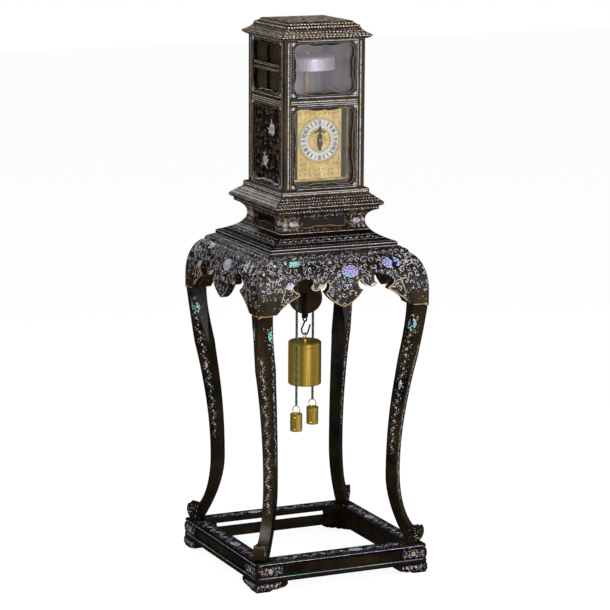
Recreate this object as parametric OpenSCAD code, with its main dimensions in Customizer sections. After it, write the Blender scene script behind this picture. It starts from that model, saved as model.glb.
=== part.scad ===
// Pillar clock: a square lacquered case on a tall four-legged stand, driven by hanging weights.
// Millimetres, +Z up, dial towards -Y, origin on the floor under the middle of the clock.

/* [Stand] */
// Height of the bracket feet
foot_h = 20; // [14:1:28]
// Length of one bracket foot along the rail
foot_l = 75; // [60:1:90]
// How far the feet stand proud of the rails
foot_proud = 3; // [1:0.5:5]
// Height of the base frame rails
rail_h = 45; // [40:1:54]
// Width of the base frame rails, seen from above
rail_w = 37; // [33:1:42]
// Depth of the long panels sunk in the rails
rail_sink = 3; // [1:0.5:5]
// Length of the corner blocks at each end of a rail
block_l = 62; // [52:1:72]
// Height of the legs from the base frame to the aprons
leg_h = 535; // [480:5:600]
// Half width over the knees of the legs
knee_half = 201.5; // [195:0.5:206]
// Half width over the ankles of the legs
ankle_half = 158.5; // [152:0.5:166]
// Height of the ankles above the base frame
ankle_h = 158; // [130:1:180]
// Side of the square block over each knee
knee_block = 44; // [41:1:48]
// How far a knee block stands proud of the leg under it
knee_proud = 1.2; // [0.8:0.2:2]
// Side of the leg under the knee block, where it is square to the stand
knee_side = 36; // [32:1:39]
// Side of the leg at the ankle, where it is set cornerwise
ankle_side = 24; // [20:1:30]
// Height of the aprons with their rounded shoulder
apron_h = 123; // [115:1:135]
// Thickness of the aprons
apron_t = 16; // [10:1:20]

/* [Stand top] */
// Half width of the stand top's square edge
top_half = 150; // [144:1:156]
// Height of the stand top with its cove
top_h = 35; // [32:1:42]
// Half width of the waist at its narrowest
waist_half = 97; // [94:0.5:102]
// Height of the waist boards
waist_h = 39; // [36:1:46]
// Thickness of the waist boards
waist_t = 18; // [12:1:24]
// Half width of the flange under the case
flange_half = 127.5; // [122:0.5:134]
// Height of the flange under the case
flange_h = 38; // [34:1:44]
// Half width of the square rope shaft through the stand
shaft_half = 52; // [48:1:56]

/* [Case] */
// Half width of the case over its corner posts
case_half = 95; // [92:0.5:100]
// Height of the case between its floor and its roof
case_h = 320; // [312:1:340]
// Height of the case floor board
floor_h = 12; // [9:1:18]
// Half width of the case floor board
floor_half = 103.5; // [101:0.5:108]
// Side of the square corner posts
post_w = 15; // [12:1:18]
// Height of the lower door opening, floor to mid rail
lower_h = 182.5; // [176:0.5:190]
// Height of the mid rails
mid_rail_h = 14; // [10:1:18]
// Thickness of the mid rails
mid_rail_t = 12; // [9:1:15]
// Half width of the cornice lip
cornice_half = 106.5; // [103:0.5:112]
// Height of the cornice
cornice_h = 22; // [19:1:28]
// Height of the roof cap
cap_h = 15; // [12:1:20]
// Half width of the roof cap's flat top
cap_half = 74; // [68:1:78]

/* [Doors and windows] */
// Thickness of the doors and side frames
door_t = 8; // [6:0.5:10]
// Clearance round the doors
door_gap = 0.3; // [0.2:0.05:0.6]
// Width of the doors' side stiles at the narrowest
stile_w = 10.5; // [8:0.5:14]
// Height of the doors' top and bottom rails at the narrowest
door_rail_w = 9.5; // [8:0.5:13]
// How far the scalloped outline dips inwards
scallop_dip = 4; // [2:0.5:6]
// Corner radius of the scalloped openings
scallop_r = 13; // [9:1:16]
// Thickness of the glass
glass_t = 2; // [1.5:0.5:3]
// Overlap of the glass behind its frame
glass_lap = 4; // [3:0.5:6]
// Radius of the doors' pivot pins
pivot_r = 1.5; // [1:0.1:2]
// Length of the pivot pins beyond the door
pivot_l = 4; // [3:0.5:6]
// Height of the muntin band across the side windows
band_h = 16; // [12:1:20]
// Width of the upright muntin bar in the side windows
bar_w = 6; // [4:1:9]

/* [Movement frame] */
// Height of the pillar feet under the movement
mv_foot_h = 15; // [10:1:20]
// Thickness of the movement's top and bottom plates
mv_plate_t = 4; // [3:0.5:5]
// Half width of the plates
mv_half_x = 76; // [74:0.5:78]
// Half depth of the plates
mv_half_y = 68; // [68:0.5:72]
// Height between the plates
mv_h = 154; // [150:1:160]
// Radius of the turned pillars
pillar_r = 3.2; // [3:0.2:4]
// Distance of the pillars from the middle, sideways
pillar_x = 70; // [68:0.5:71]
// Distance of the pillars from the middle, front to back
pillar_y = 61; // [60:0.5:62]
// Thickness of the upright train plates
train_t = 3; // [2:0.5:3]
// Half width of the train plates
train_half = 47; // [45:1:50]
// Distance of the outer train plates from the middle
train_y = 60; // [60:0.5:62]

/* [Trains] */
// Height of the great wheels above the bottom plate
great_dz = 46; // [45:0.5:48]
// Gear module
gear_m = 1; // [1:0.05:1]
// Teeth of the great wheels
great_n = 78; // [78:1:78]
// Teeth of the second wheels
second_n = 60; // [60:1:60]
// Leaves of the pinions
leaf_n = 8; // [8:1:8]
// Teeth of the motion pinion
motion_n = 12; // [12:1:12]
// Teeth of the idler between motion pinion and hour wheel
idler_n = 16; // [16:1:16]
// Teeth of the hour wheel
hour_n = 40; // [40:1:40]
// Teeth of the count wheel's pinion
count_pinion_n = 19; // [19:1:19]
// Teeth of the count wheel
count_n = 57; // [57:1:57]
// Tilt of the second arbors from straight above the great arbors
second_tilt = 20; // [18:0.5:22]
// Thickness of the wheels
wheel_t = 2.5; // [2:0.5:3]
// Radius of the great arbors
great_arbor_r = 3; // [2.5:0.5:3.5]
// Radius of the lighter arbors
arbor_r = 1.8; // [1.5:0.1:2]
// Radius of the arbors' pivots
tip_r = 1.2; // [0.9:0.1:1.4]
// Clearance of a pivot in its hole
run_gap = 0.06; // [0.04:0.01:0.1]
// Radius of the crown wheel
crown_r = 18; // [16:0.5:19]
// Length of the crown wheel's teeth and rim
crown_l = 9; // [8:0.5:9]
// Distance of the verge staff in front of the middle
verge_y = 51.5; // [51.5:0.25:52]
// Half length of the foliot bar
foliot_l = 52; // [46:1:54]
// Distance of the foliot weights from the verge
foliot_weight_at = 45; // [38:1:47]

/* [Dial] */
// Width of the dial plate
dial_w = 103; // [96:1:108]
// Height of the dial plate
dial_h = 163; // [158:1:168]
// Thickness of the dial plate
dial_t = 1.5; // [1:0.25:2]
// Height of the dial centre above the great arbor
dial_dz = 38; // [38:0.5:38]
// Outer radius of the white chapter ring
chapter_r = 46; // [44:0.5:48]
// Inner radius of the white chapter ring
chapter_inner_r = 25.5; // [24:0.5:27]
// Length of the hand above its centre
hand_up = 33; // [28:1:38]
// Length of the hand's tail
hand_down = 23; // [18:1:26]

/* [Bell] */
// Radius of the bell
bell_r = 62; // [58:1:64]
// Height of the bell
bell_h = 32; // [28:1:38]
// Thickness of the bell
bell_t = 2.5; // [2:0.5:3]
// Depth of the bell's rim below the roof
bell_drop = 70; // [66:1:76]
// Height of the hammer head above the bell's rim
hammer_dz = 12; // [9:1:16]

/* [Weights and rope] */
// Radius of the rope
rope_r = 3; // [2.5:0.25:3]
// Pitch radius of the rope sheaves in the trains
sheave_r = 37; // [36:0.25:37]
// Distance of each sheave from the middle, front to back
sheave_y = 38; // [38:0.25:38.5]
// Pitch radius of the weight pulley
pulley_r = 33.5; // [30:0.5:34]
// Height of the pulley's rims beyond the middle of its rope
pulley_rim = 4.6; // [2.5:0.1:5]
// Height of the pulley centre above the floor
pulley_z = 596; // [580:1:600]
// Thickness of the pulley wheel
pulley_t = 12; // [9:1:13]
// Width of the iron strap over the pulley
strap_w = 9; // [7:1:12]
// Radius of the driving weight
weight_r = 36.5; // [30:0.5:36.5]
// Height of the driving weight
weight_h = 97; // [85:1:110]
// Radius of the two counterweights
counter_r = 13.5; // [11:0.5:13.5]
// Height of the two counterweights
counter_h = 39; // [32:1:44]
// Height of the front counterweight's top above the floor
counter_front_z = 344; // [330:1:350]
// Height of the back counterweight's top above the floor
counter_back_z = 336.5; // [325:0.5:350]
// Height of the wire loops on the counterweights
counter_loop_h = 18; // [14:1:22]

/* [Hidden] */
$fn = 48;

// Colours
lacquer = "#1c1512";
lacquer_warm = "#2a1e17";
brass = "#c8a45a";
silver = "#c9c7c2";
iron = "#25211f";
wood = "#4a2c1a";
green = "#5d6b3a";

// Heights from the floor up
rail_top = foot_h + rail_h;
apron_z = rail_top + leg_h;
shoulder_z = apron_z + apron_h;
waist_z = shoulder_z + top_h;
flange_z = waist_z + waist_h;
floor_z = flange_z + flange_h;
case_z = floor_z + floor_h;
roof_z = case_z + case_h;
cap_z = roof_z + cornice_h;
mid_z = case_z + lower_h;
upper_z = mid_z + mid_rail_h;

// Open joint between pieces of wood that meet on a mitre
joint_gap = 0.04;

// Base frame
bead_half = knee_half + 2;
rail_half = knee_half + 1;
bead_h = 13;

// Case inside
bay_half = case_half - post_w;
frame_back = case_half - 1;
frame_front = frame_back - door_t;
pivot_in = bay_half - door_gap - door_t / 2;
pivot_y = case_half - 1 - door_t / 2;

// Movement
mv_z = case_z + mv_foot_h;
train_z = mv_z + mv_plate_t;
mv_top_z = train_z + mv_h;
deck_z = mv_top_z + mv_plate_t;
great_z = train_z + great_dz;
great_d = gear_m * (great_n + leaf_n) / 2;
second_d = gear_m * (second_n + leaf_n) / 2;
second_x = great_d * sin(second_tilt);
second_z = great_z + great_d * cos(second_tilt);
third_z = second_z + sqrt(second_d * second_d - second_x * second_x);
mid_plate_half = 2;
rear_face = train_y - train_t;
great_wheel_y = 28;
second_wheel_y = 14;
crown_back_y = verge_y - 4.5 - crown_l;
dial_z = great_z + dial_dz;
dial_foot_z = train_z + 1;
dial_y = mv_half_y;
motion_y = train_y + 2;

// Idler: its arbor sits where both centre distances are right
idler_a = gear_m * (motion_n + idler_n) / 2;
idler_b = gear_m * (idler_n + hour_n) / 2;
idler_dz = (idler_a * idler_a - idler_b * idler_b + dial_dz * dial_dz) / (2 * dial_dz);
idler_x = sqrt(idler_a * idler_a - idler_dz * idler_dz);
idler_z = great_z + idler_dz;

// Foliot and bell
foliot_z = deck_z + 16;
foliot_t = 2.5;
bell_z = roof_z - bell_drop;
hammer_x = 40;
hammer_y = 25.5;
hammer_z = train_z + 119;

// Rope and weights
groove_r = sheave_r - rope_r;
pulley_flange_r = pulley_r + pulley_rim;
hook_z = pulley_z - pulley_flange_r - 39.4;
hook_r = 7.5;
hook_wire = 1.8;
eye_r = 4;
loop_r = 7;
loop_wire = 1.5;
loop_z = hook_z - hook_r + hook_wire + loop_wire + 0.2 - loop_r;
weight_top = loop_z - loop_r - 3;
diagonal = -45;

// Curves

function quad(a, c, b, n = 5) = [
    for (i = [1:n]) let (t = i / n) (1 - t) * (1 - t) * a + 2 * (1 - t) * t * c + t * t * b
];
function cubic(a, c, d, b, n = 12) = [
    for (i = [1:n]) let (t = i / n, s = 1 - t)
        s * s * s * a + 3 * s * s * t * c + 3 * s * t * t * d + t * t * t * b
];
function flip(list) = [for (i = [len(list) - 1:-1:0]) list[i]];
function tail(list) = [for (i = [1:len(list) - 1]) list[i]];

// A profile of [half width, height] points turned into a closed outline about the centre line
function mirrored(profile) = concat(profile, [for (p = flip(profile)) [-p[0], p[1]]]);

// A square moulding: the same profile run along all four sides, mitred at the corners
module square_moulding(profile) {
    reach = 2 * max([for (p = profile) p[0]]) + 2;
    intersection() {
        rotate([90, 0, 0]) linear_extrude(reach, center = true) polygon(mirrored(profile));
        rotate([90, 0, 90]) linear_extrude(reach, center = true) polygon(mirrored(profile));
    }
}

// The quarter of a square ring that faces one way, cut on the mitres
module wedge(turn, reach, z0, z1) {
    rotate([0, 0, turn]) translate([0, 0, z0]) linear_extrude(z1 - z0)
        polygon([[0, 0], [reach, -reach], [-reach, -reach]]);
}

// Draws a flat outline upright, facing the dial side, from depth y0 back by t
module upright(y0, t) {
    translate([0, y0 + t, 0]) rotate([90, 0, 0]) linear_extrude(t) children();
}

// A round rod along Y
module rod_y(r, y0, y1) {
    translate([0, y0, 0]) rotate([-90, 0, 0]) cylinder(r = r, h = y1 - y0);
}

// Half of one side of a scalloped opening, from its middle to where the corner starts
function brace(length, out, dip) = concat(
    [[0, out - 0.4 * dip]],
    quad([0, out - 0.4 * dip], [0.05 * length, out - dip], [0.2 * length, out - dip], 3),
    quad([0.2 * length, out - dip], [0.42 * length, out - dip], [0.55 * length, out], 4)
);
function scallop_quarter(a, b, dip, r) = concat(
    brace(a, b, dip),
    [for (i = [0:4]) [a - r + r * sin(22.5 * i), b - r + r * cos(22.5 * i)]],
    [for (p = flip(brace(b, a, dip))) [p[1], p[0]]]
);
function scallop(a, b, dip, r) = let (q = scallop_quarter(a, b, dip, r), n = len(q)) concat(
    q,
    [for (i = [n - 2:-1:0]) [q[i][0], -q[i][1]]],
    [for (i = [1:n - 1]) [-q[i][0], -q[i][1]]],
    [for (i = [n - 2:-1:1]) [-q[i][0], q[i][1]]]
);

// A frame with a scalloped opening, drawn flat; x centred, z from low to high
module scallop_frame(half, low, high, side, edge) {
    mid = (low + high) / 2;
    difference() {
        translate([-half, low]) square([2 * half, high - low]);
        translate([0, mid]) polygon(scallop(half - side, (high - low) / 2 - edge, scallop_dip, scallop_r));
    }
}

// Base frame

rail_profile = [
    [bead_half - 1, foot_h], [bead_half, foot_h + 2], [bead_half, foot_h + bead_h - 2],
    [bead_half - 1, foot_h + bead_h], [bead_half, foot_h + bead_h + 3],
    [bead_half + 1, foot_h + rail_h / 2 + 2], [bead_half, rail_top - bead_h + 2],
    [rail_half - 1.5, rail_top - bead_h + 4], [rail_half, rail_top - 6],
    [rail_half, rail_top - 3], [rail_half - 1.5, rail_top]
];

module rail(turn, slotted = false) {
    inside = rail_half - 1.5 - rail_w;
    panel_half = bead_half - block_l;
    panel_low = foot_h + bead_h + 1;
    panel_high = rail_top - bead_h + 2;
    difference() {
        intersection() {
            square_moulding(rail_profile);
            wedge(turn, 2 * bead_half, foot_h - 1, rail_top + 1);
        }
        translate([-inside, -inside, foot_h - 1]) cube([2 * inside, 2 * inside, rail_h + 2]);
        rotate([0, 0, turn]) {
            translate([-panel_half, -bead_half - 5, panel_low])
                cube([2 * panel_half, rail_sink + 5, panel_high - panel_low]);
            if (slotted)
                translate([-panel_half, -bead_half - 5, panel_low])
                    cube([2 * panel_half, rail_w + 20, panel_high - panel_low]);
        }
    }
}

module front_rail() color(lacquer) rail(0);
module right_rail() color(lacquer) rail(90);
module back_rail() color(lacquer) rail(180, slotted = true);
module left_rail() color(lacquer) rail(270);

// Underside of a bracket foot: [distance from the corner, height]
function foot_scroll(l, h) = concat(
    [[0, 0], [0.4 * l, 0]],
    quad([0.4 * l, 0], [0.5 * l, 0.02 * h], [0.54 * l, 0.24 * h], 4),
    quad([0.54 * l, 0.24 * h], [0.66 * l, 0.12 * h], [0.74 * l, 0.3 * h], 4),
    quad([0.74 * l, 0.3 * h], [0.92 * l, 0.34 * h], [l, 0.72 * h], 4),
    [[l, h], [0, h]]
);

module foot_arm(half) {
    depth = 24;
    intersection() {
        translate([half, -half, 0]) rotate([90, 0, 180]) linear_extrude(depth)
            polygon(foot_scroll(foot_l, foot_h));
        square_moulding([[half - 3, 0], [half, 0.45 * foot_h], [half - 0.5, foot_h]]);
    }
}

module bracket_feet() color(lacquer_warm) {
    half = bead_half + foot_proud - 1;
    for (turn = [0, 90, 180, 270]) rotate([0, 0, turn]) {
        foot_arm(half);
        mirror([1, 1, 0]) foot_arm(half);
    }
}

// Legs and aprons

toe_half = knee_half - 1.8;
// How far the hollow behind a toe's tip lies inside the toe
toe_tip = 18.7;

// Outer and inner lines of a leg: [half width, height], from the base frame up to the shoulder
leg_outer = concat(
    [[toe_half - 9, rail_top]],
    quad([toe_half - 9, rail_top], [toe_half - 2, rail_top + 6], [toe_half, rail_top + 24], 7),
    quad([toe_half, rail_top + 24], [toe_half - 0.5, rail_top + 38], [toe_half - 7, rail_top + 43], 6),
    quad([toe_half - 7, rail_top + 43], [toe_half - 14, rail_top + 33], [toe_half - toe_tip, rail_top + 36], 6),
    cubic([toe_half - toe_tip, rail_top + 36], [ankle_half + 6.5, rail_top + 61],
          [ankle_half, rail_top + ankle_h - 48], [ankle_half, rail_top + ankle_h], 14),
    cubic([ankle_half, rail_top + ankle_h], [ankle_half, apron_z - 232],
          [knee_half - 12.3, apron_z - 114], [knee_half - knee_proud, apron_z + 3], 20),
    [[knee_half - knee_proud, apron_z + 9]]
);
leg_inner = concat(
    [[toe_half - 28.5, rail_top]],
    cubic([toe_half - 28.5, rail_top], [toe_half - 42.5, rail_top + 30],
          [ankle_half - ankle_side, rail_top + ankle_h - 66], [ankle_half - ankle_side, rail_top + ankle_h - 8], 12),
    cubic([ankle_half - ankle_side, rail_top + ankle_h - 8], [ankle_half - ankle_side, apron_z - 179],
          [knee_half - knee_side - 2, apron_z - 107], [knee_half - knee_side, apron_z + 3], 18),
    [[knee_half - knee_side, apron_z + 9]]
);
// Rounded shoulder above the knee, up to the stand top
shoulder_edge = top_half + 18.5;
shoulder = concat(
    quad([knee_half, apron_z + 3], [knee_half, apron_z + 10], [knee_half, apron_z + 29], 2),
    cubic([knee_half, apron_z + 29], [knee_half, shoulder_z - 52],
          [top_half + 38, shoulder_z - 20], [shoulder_edge, shoulder_z - 12], 10),
    quad([shoulder_edge, shoulder_z - 12], [shoulder_edge, shoulder_z - 5],
         [top_half + 10, shoulder_z - 3], 4),
    [[top_half + 5, shoulder_z]]
);
leg_mitre_top = [top_half - 37, shoulder_z];

// A leg is square to the stand under its knee and turns cornerwise on the way down: 0 at the top, 1 below
turn_top = apron_z - 10;
turn_low = apron_z - 170;
function share(z) = min(max((turn_top - z) / (turn_top - turn_low), 0), 1);
function turned(z) = share(z) * share(z) * (3 - 2 * share(z));

// Flat across the corner that the turn leaves, and the half width of the leg there
corner_cut = 4.5;
ankle_across = ankle_side / 2 + 0.3;
knee_across = knee_side / sqrt(2) + 1;
leg_across = concat(
    [[ankle_across, rail_top], [ankle_across, rail_top + ankle_h - 40]],
    cubic([ankle_across, rail_top + ankle_h - 40], [ankle_across, apron_z - 232],
          [ankle_across + 2, apron_z - 110], [knee_across, apron_z + 3], 14),
    [[knee_across, apron_z + 9]]
);

module leg_post() {
    reach = 2 * knee_half + 20;
    square_band = concat([for (p = leg_outer) [p[0] + 12 * turned(p[1]), p[1]]],
                         [for (p = flip(leg_inner)) [p[0] - 12 * turned(p[1]), p[1]]]);
    corner_band = concat([for (p = leg_outer) [p[0] * sqrt(2) - corner_cut * turned(p[1]), p[1]]],
                         [for (p = flip(leg_inner)) [p[0] * sqrt(2) + corner_cut * turned(p[1]), p[1]]]);
    intersection() {
        rotate([90, 0, 0]) linear_extrude(reach) polygon(square_band);
        mirror([0, 1, 0]) rotate([90, 0, 90]) linear_extrude(reach) polygon(square_band);
        rotate([90, 0, -45]) linear_extrude(reach, center = true) polygon(corner_band);
        rotate([90, 0, 45]) linear_extrude(2 * reach, center = true) polygon(mirrored(leg_across));
    }
}

// The block over a knee ends just above the leg's top, in a small point at the corner
knee_point = 6;
knee_low = 3;
module leg_block() {
    low = apron_z + knee_low;
    band = concat(
        [[knee_half - knee_block, low]],
        quad([knee_half - 14, low], [knee_half - 6, low - 1], [knee_half, low - knee_point], 4),
        [[knee_half, low]], shoulder, [leg_mitre_top]
    );
    reach = 2 * knee_half + 20;
    intersection() {
        rotate([90, 0, 0]) linear_extrude(reach) polygon(band);
        mirror([0, 1, 0]) rotate([90, 0, 90]) linear_extrude(reach) polygon(band);
    }
}

module leg(sx, sy) {
    mirror([sx < 0 ? 1 : 0, 0, 0]) mirror([0, sy > 0 ? 1 : 0, 0]) union() {
        leg_post();
        leg_block();
    }
}

module front_left_leg() color(lacquer_warm) leg(-1, -1);
module front_right_leg() color(lacquer_warm) leg(1, -1);
module back_left_leg() color(lacquer_warm) leg(-1, 1);
module back_right_leg() color(lacquer_warm) leg(1, 1);

// Right half of the cusped lower edge: [distance from the middle, height above the leg tops]
leg_side_x = knee_half - knee_block;
cusps = concat(
    [[0, 9]],
    quad([0, 9], [28, 18], [45, 43], 5),
    quad([45, 43], [34, 48], [34, 59], 4),
    quad([34, 59], [34, 65], [41, 63], 3),
    quad([41, 63], [50, 49], [64, 48], 5),
    quad([64, 48], [76, 48], [78, 56], 4),
    quad([78, 56], [72, 60], [72, 67], 3),
    quad([72, 67], [73, 77], [84, 75], 4),
    quad([84, 75], [104, 73], [119, 60], 5),
    quad([119, 60], [119, 51], [108, 47], 4),
    quad([108, 47], [103, 45], [104, 40], 3),
    quad([104, 40], [134, 27], [leg_side_x, knee_low], 6)
);

module apron(turn) {
    face = concat([[knee_half, apron_z]], shoulder);
    band = concat(face, [for (p = flip(face)) [p[0] - apron_t, p[1]]]);
    lower = [for (p = cusps) [p[0], apron_z + p[1]]];
    outline = concat(lower, [leg_mitre_top]);
    rotate([0, 0, turn]) intersection() {
        rotate([90, 0, 0]) linear_extrude(2 * knee_half, center = true) polygon(mirrored(outline));
        mirror([0, 1, 0]) rotate([90, 0, 90]) linear_extrude(2 * knee_half, center = true) polygon(band);
    }
}

module front_apron() color(lacquer) apron(0);
module right_apron() color(lacquer) apron(90);
module back_apron() color(lacquer) apron(180);
module left_apron() color(lacquer) apron(270);

// Stand top, waist and flange

module shaft(z0, z1, half = shaft_half) {
    translate([-half, -half, z0]) cube([2 * half, 2 * half, z1 - z0]);
}

module stand_top() color(lacquer) difference() {
    square_moulding(concat(
        [[top_half, shoulder_z], [top_half, shoulder_z + 9], [top_half - 2, shoulder_z + 10]],
        cubic([top_half - 2, shoulder_z + 10], [top_half - 26, shoulder_z + 18],
              [waist_half + 12, waist_z - 8], [waist_half + 7, waist_z], 8)
    ));
    shaft(shoulder_z - 1, waist_z + 1);
}

waist_mid = (waist_z + flange_z) / 2;
waist_low = waist_half + 7;
waist_profile = concat(
    [[waist_low, waist_z]],
    cubic([waist_low, waist_z], [waist_half + 2, waist_z + 6],
          [waist_half, waist_mid - 10], [waist_half, waist_mid - 2], 5),
    cubic([waist_half, waist_mid - 2], [waist_half, waist_mid + 6],
          [waist_half + 3, flange_z - 6], [waist_half + 13, flange_z], 6)
);

module waist_board(turn) {
    sunk = 5;
    window_half = 54;
    inside = waist_half - waist_t;
    board = concat(waist_profile, [[inside, flange_z], [inside, waist_z]]);
    rotate([0, 0, turn]) difference() {
        intersection() {
            mirror([0, 1, 0]) rotate([90, 0, 90])
                linear_extrude(3 * waist_low, center = true) polygon(board);
            translate([0, -joint_gap, 0]) wedge(0, 2 * waist_low, waist_z - 1, flange_z + 1);
        }
        upright(-waist_half - 20, 20 + sunk) translate([0, waist_mid - 2])
            polygon(scallop(window_half, 11, 3, 4));
    }
}

module waist_boards() color(lacquer_warm) for (turn = [0, 90, 180, 270]) waist_board(turn);

module case_flange() color(lacquer) {
    tip = flange_z + 18;
    difference() {
        square_moulding(concat(
            [[waist_half + 13, flange_z], [flange_half - 8, flange_z + 4], [flange_half - 8, flange_z + 11],
             [flange_half - 3, flange_z + 12.5], [flange_half, flange_z + 15], [flange_half, flange_z + 20]],
            cubic([flange_half, flange_z + 20], [flange_half - 6, floor_z - 13],
                  [floor_half + 10, floor_z - 7], [floor_half + 1, floor_z], 8)
        ));
        shaft(flange_z - 1, floor_z + 1);
    }
}

// Case

rope_hole_r = rope_r + 4;
rope_hole_x = sheave_r - 1;
rope_hole_y = sheave_y - 1;

module rope_holes(z0, z1) {
    for (sx = [-1, 1], sy = [-1, 1])
        translate([sx * rope_hole_x, sy * rope_hole_y, z0]) cylinder(r = rope_hole_r, h = z1 - z0);
}

module pivot_hole(x, y, z0, z1) {
    translate([x, y, z0]) cylinder(r = pivot_r + run_gap, h = z1 - z0);
}

module case_floor() color(lacquer) difference() {
    square_moulding([
        [floor_half, floor_z], [floor_half, case_z - 3], [floor_half - 2, case_z - 1], [floor_half - 4, case_z]
    ]);
    rope_holes(floor_z - 1, case_z + 1);
    pivot_hole(-pivot_in, -pivot_y, case_z - pivot_l - 0.5, case_z + 1);
    pivot_hole(pivot_in, pivot_y, case_z - pivot_l - 0.5, case_z + 1);
}

module corner_posts() color(lacquer_warm) {
    bevel = 1.5;
    outline = [
        [bay_half, bay_half], [case_half, bay_half], [case_half, case_half - bevel],
        [case_half - bevel, case_half], [bay_half, case_half]
    ];
    for (turn = [0, 90, 180, 270]) rotate([0, 0, turn])
        translate([0, 0, case_z]) linear_extrude(case_h) polygon(outline);
}

module mid_rail(turn) {
    rotate([0, 0, turn]) translate([-bay_half, -frame_back, mid_z])
        cube([2 * bay_half, mid_rail_t, mid_rail_h]);
}

module mid_rails() color(lacquer_warm) {
    difference() {
        mid_rail(0);
        pivot_hole(-pivot_in, -pivot_y, mid_z - 1, mid_z + mid_rail_h + 1);
    }
    mid_rail(90);
    mid_rail(270);
}

// Side frame with a scalloped window, crossed by a band and an upright bar
module window_frame(turn) {
    mid = (upper_z + roof_z) / 2;
    rotate([0, 0, turn]) {
        upright(-frame_back, door_t)
            scallop_frame(bay_half, upper_z, roof_z, stile_w, door_rail_w);
        upright(-frame_back + 2, door_t - 4) {
            translate([-bay_half + stile_w - 2, mid - band_h / 2])
                square([2 * (bay_half - stile_w + 2), band_h]);
            translate([-bar_w / 2, upper_z + door_rail_w - 1])
                square([bar_w, roof_z - upper_z - 2 * door_rail_w + 2]);
        }
    }
}

module side_window_frames() color(lacquer) {
    window_frame(270);
    window_frame(90);
}

// Lower side panel: a board with a scalloped frame raised on its face
module side_panel(turn) {
    board_t = 4;
    rotate([0, 0, turn]) {
        upright(-frame_front - board_t, board_t)
            translate([-bay_half, case_z]) square([2 * bay_half, lower_h]);
        upright(-frame_back, door_t - board_t)
            scallop_frame(bay_half, case_z, mid_z, stile_w, door_rail_w);
    }
}

module side_panels() color(lacquer) {
    side_panel(270);
    side_panel(90);
}

module pane(turn, low, high, gap = 0) {
    half = bay_half - stile_w + glass_lap;
    rotate([0, 0, turn]) upright(-frame_front + gap, glass_t)
        translate([-half, low + door_rail_w - glass_lap])
            square([2 * half, high - low - 2 * door_rail_w + 2 * glass_lap]);
}

module side_glass() color([0.6, 0.62, 0.62, 0.4]) {
    pane(270, upper_z, roof_z);
    pane(90, upper_z, roof_z);
}

// Doors: the hinge edge is rounded about the pivot pins

module door_body(low, high) {
    translate([-pivot_in, -frame_back, low])
        cube([pivot_in + bay_half - door_gap, door_t, high - low]);
    translate([-pivot_in, -pivot_y, low]) cylinder(r = door_t / 2, h = high - low);
}

module door_pins(low, high) {
    for (z = [low - pivot_l, high - 0.01])
        translate([-pivot_in, -pivot_y, z]) cylinder(r = pivot_r, h = pivot_l + 0.01);
}

module framed_door(low, high) {
    bottom = low + door_gap;
    top = high - door_gap;
    difference() {
        door_body(bottom, top);
        upright(-frame_back - 1, door_t + 2) translate([0, (low + high) / 2])
            polygon(scallop(bay_half - stile_w, (high - low) / 2 - door_rail_w, scallop_dip, scallop_r));
    }
    door_pins(bottom, top);
}

module upper_door_frame() color(lacquer) framed_door(upper_z, roof_z);
module lower_door_frame() color(lacquer) framed_door(case_z, mid_z);
module upper_door_glass() color([0.6, 0.62, 0.62, 0.4]) pane(0, upper_z, roof_z);
module lower_door_glass() color([0.6, 0.62, 0.62, 0.4]) pane(0, case_z, mid_z);

module back_door() color(lacquer) rotate([0, 0, 180]) {
    sunk = 2;
    margin = 14;
    low = case_z + door_gap;
    high = roof_z - door_gap;
    difference() {
        door_body(low, high);
        for (span = [[case_z, mid_z], [upper_z, roof_z]])
            upright(-frame_back - 1, 1 + sunk) translate([0, (span[0] + span[1]) / 2])
                polygon(scallop(bay_half - margin, (span[1] - span[0]) / 2 - margin, scallop_dip, scallop_r));
    }
    door_pins(low, high);
}

// Roof

module cornice() color(lacquer) difference() {
    square_moulding(concat(
        [[case_half + 1, roof_z], [case_half + 5.5, roof_z + 2], [case_half + 9, roof_z + 4],
         [cornice_half, roof_z + 6], [cornice_half, roof_z + 9]],
        cubic([cornice_half, roof_z + 9], [cornice_half - 5, roof_z + 12],
              [cap_half + 18, cap_z - 6], [cap_half + 14, cap_z], 7)
    ));
    pivot_hole(-pivot_in, -pivot_y, roof_z - 1, roof_z + pivot_l + 0.5);
    pivot_hole(pivot_in, pivot_y, roof_z - 1, roof_z + pivot_l + 0.5);
}

module roof_cap() color(lacquer) square_moulding(concat(
    [[cap_half + 14, cap_z], [cap_half + 11.5, cap_z + cap_h - 8], [cap_half + 10, cap_z + cap_h - 7.5]],
    quad([cap_half + 10, cap_z + cap_h - 7.5], [cap_half + 3, cap_z + cap_h - 5], [cap_half, cap_z + cap_h], 4)
));

// Movement frame

module bottom_plate() difference() {
    translate([-mv_half_x, -mv_half_y, mv_z]) cube([2 * mv_half_x, 2 * mv_half_y, mv_plate_t]);
    rope_holes(mv_z - 1, train_z + 1);
}

hammer_slot_x = [hammer_x - 4, hammer_x + 12];

module top_plate() difference() {
    translate([-mv_half_x, -mv_half_y, mv_top_z]) cube([2 * mv_half_x, 2 * mv_half_y, mv_plate_t]);
    translate([0, -verge_y, mv_top_z - 1]) cylinder(r = arbor_r + run_gap, h = mv_plate_t + 2);
    translate([hammer_slot_x[0], hammer_y - 4, mv_top_z - 1])
        cube([hammer_slot_x[1] - hammer_slot_x[0], 8, mv_plate_t + 2]);
}

module movement_plates() color(brass) {
    bottom_plate();
    top_plate();
}

// Turned pillar: foot under the bottom plate, a swelling shaft, and a finial on top
module pillar_foot() cylinder(r1 = pillar_r + 1.5, r2 = pillar_r + 0.5, h = mv_foot_h);

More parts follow.
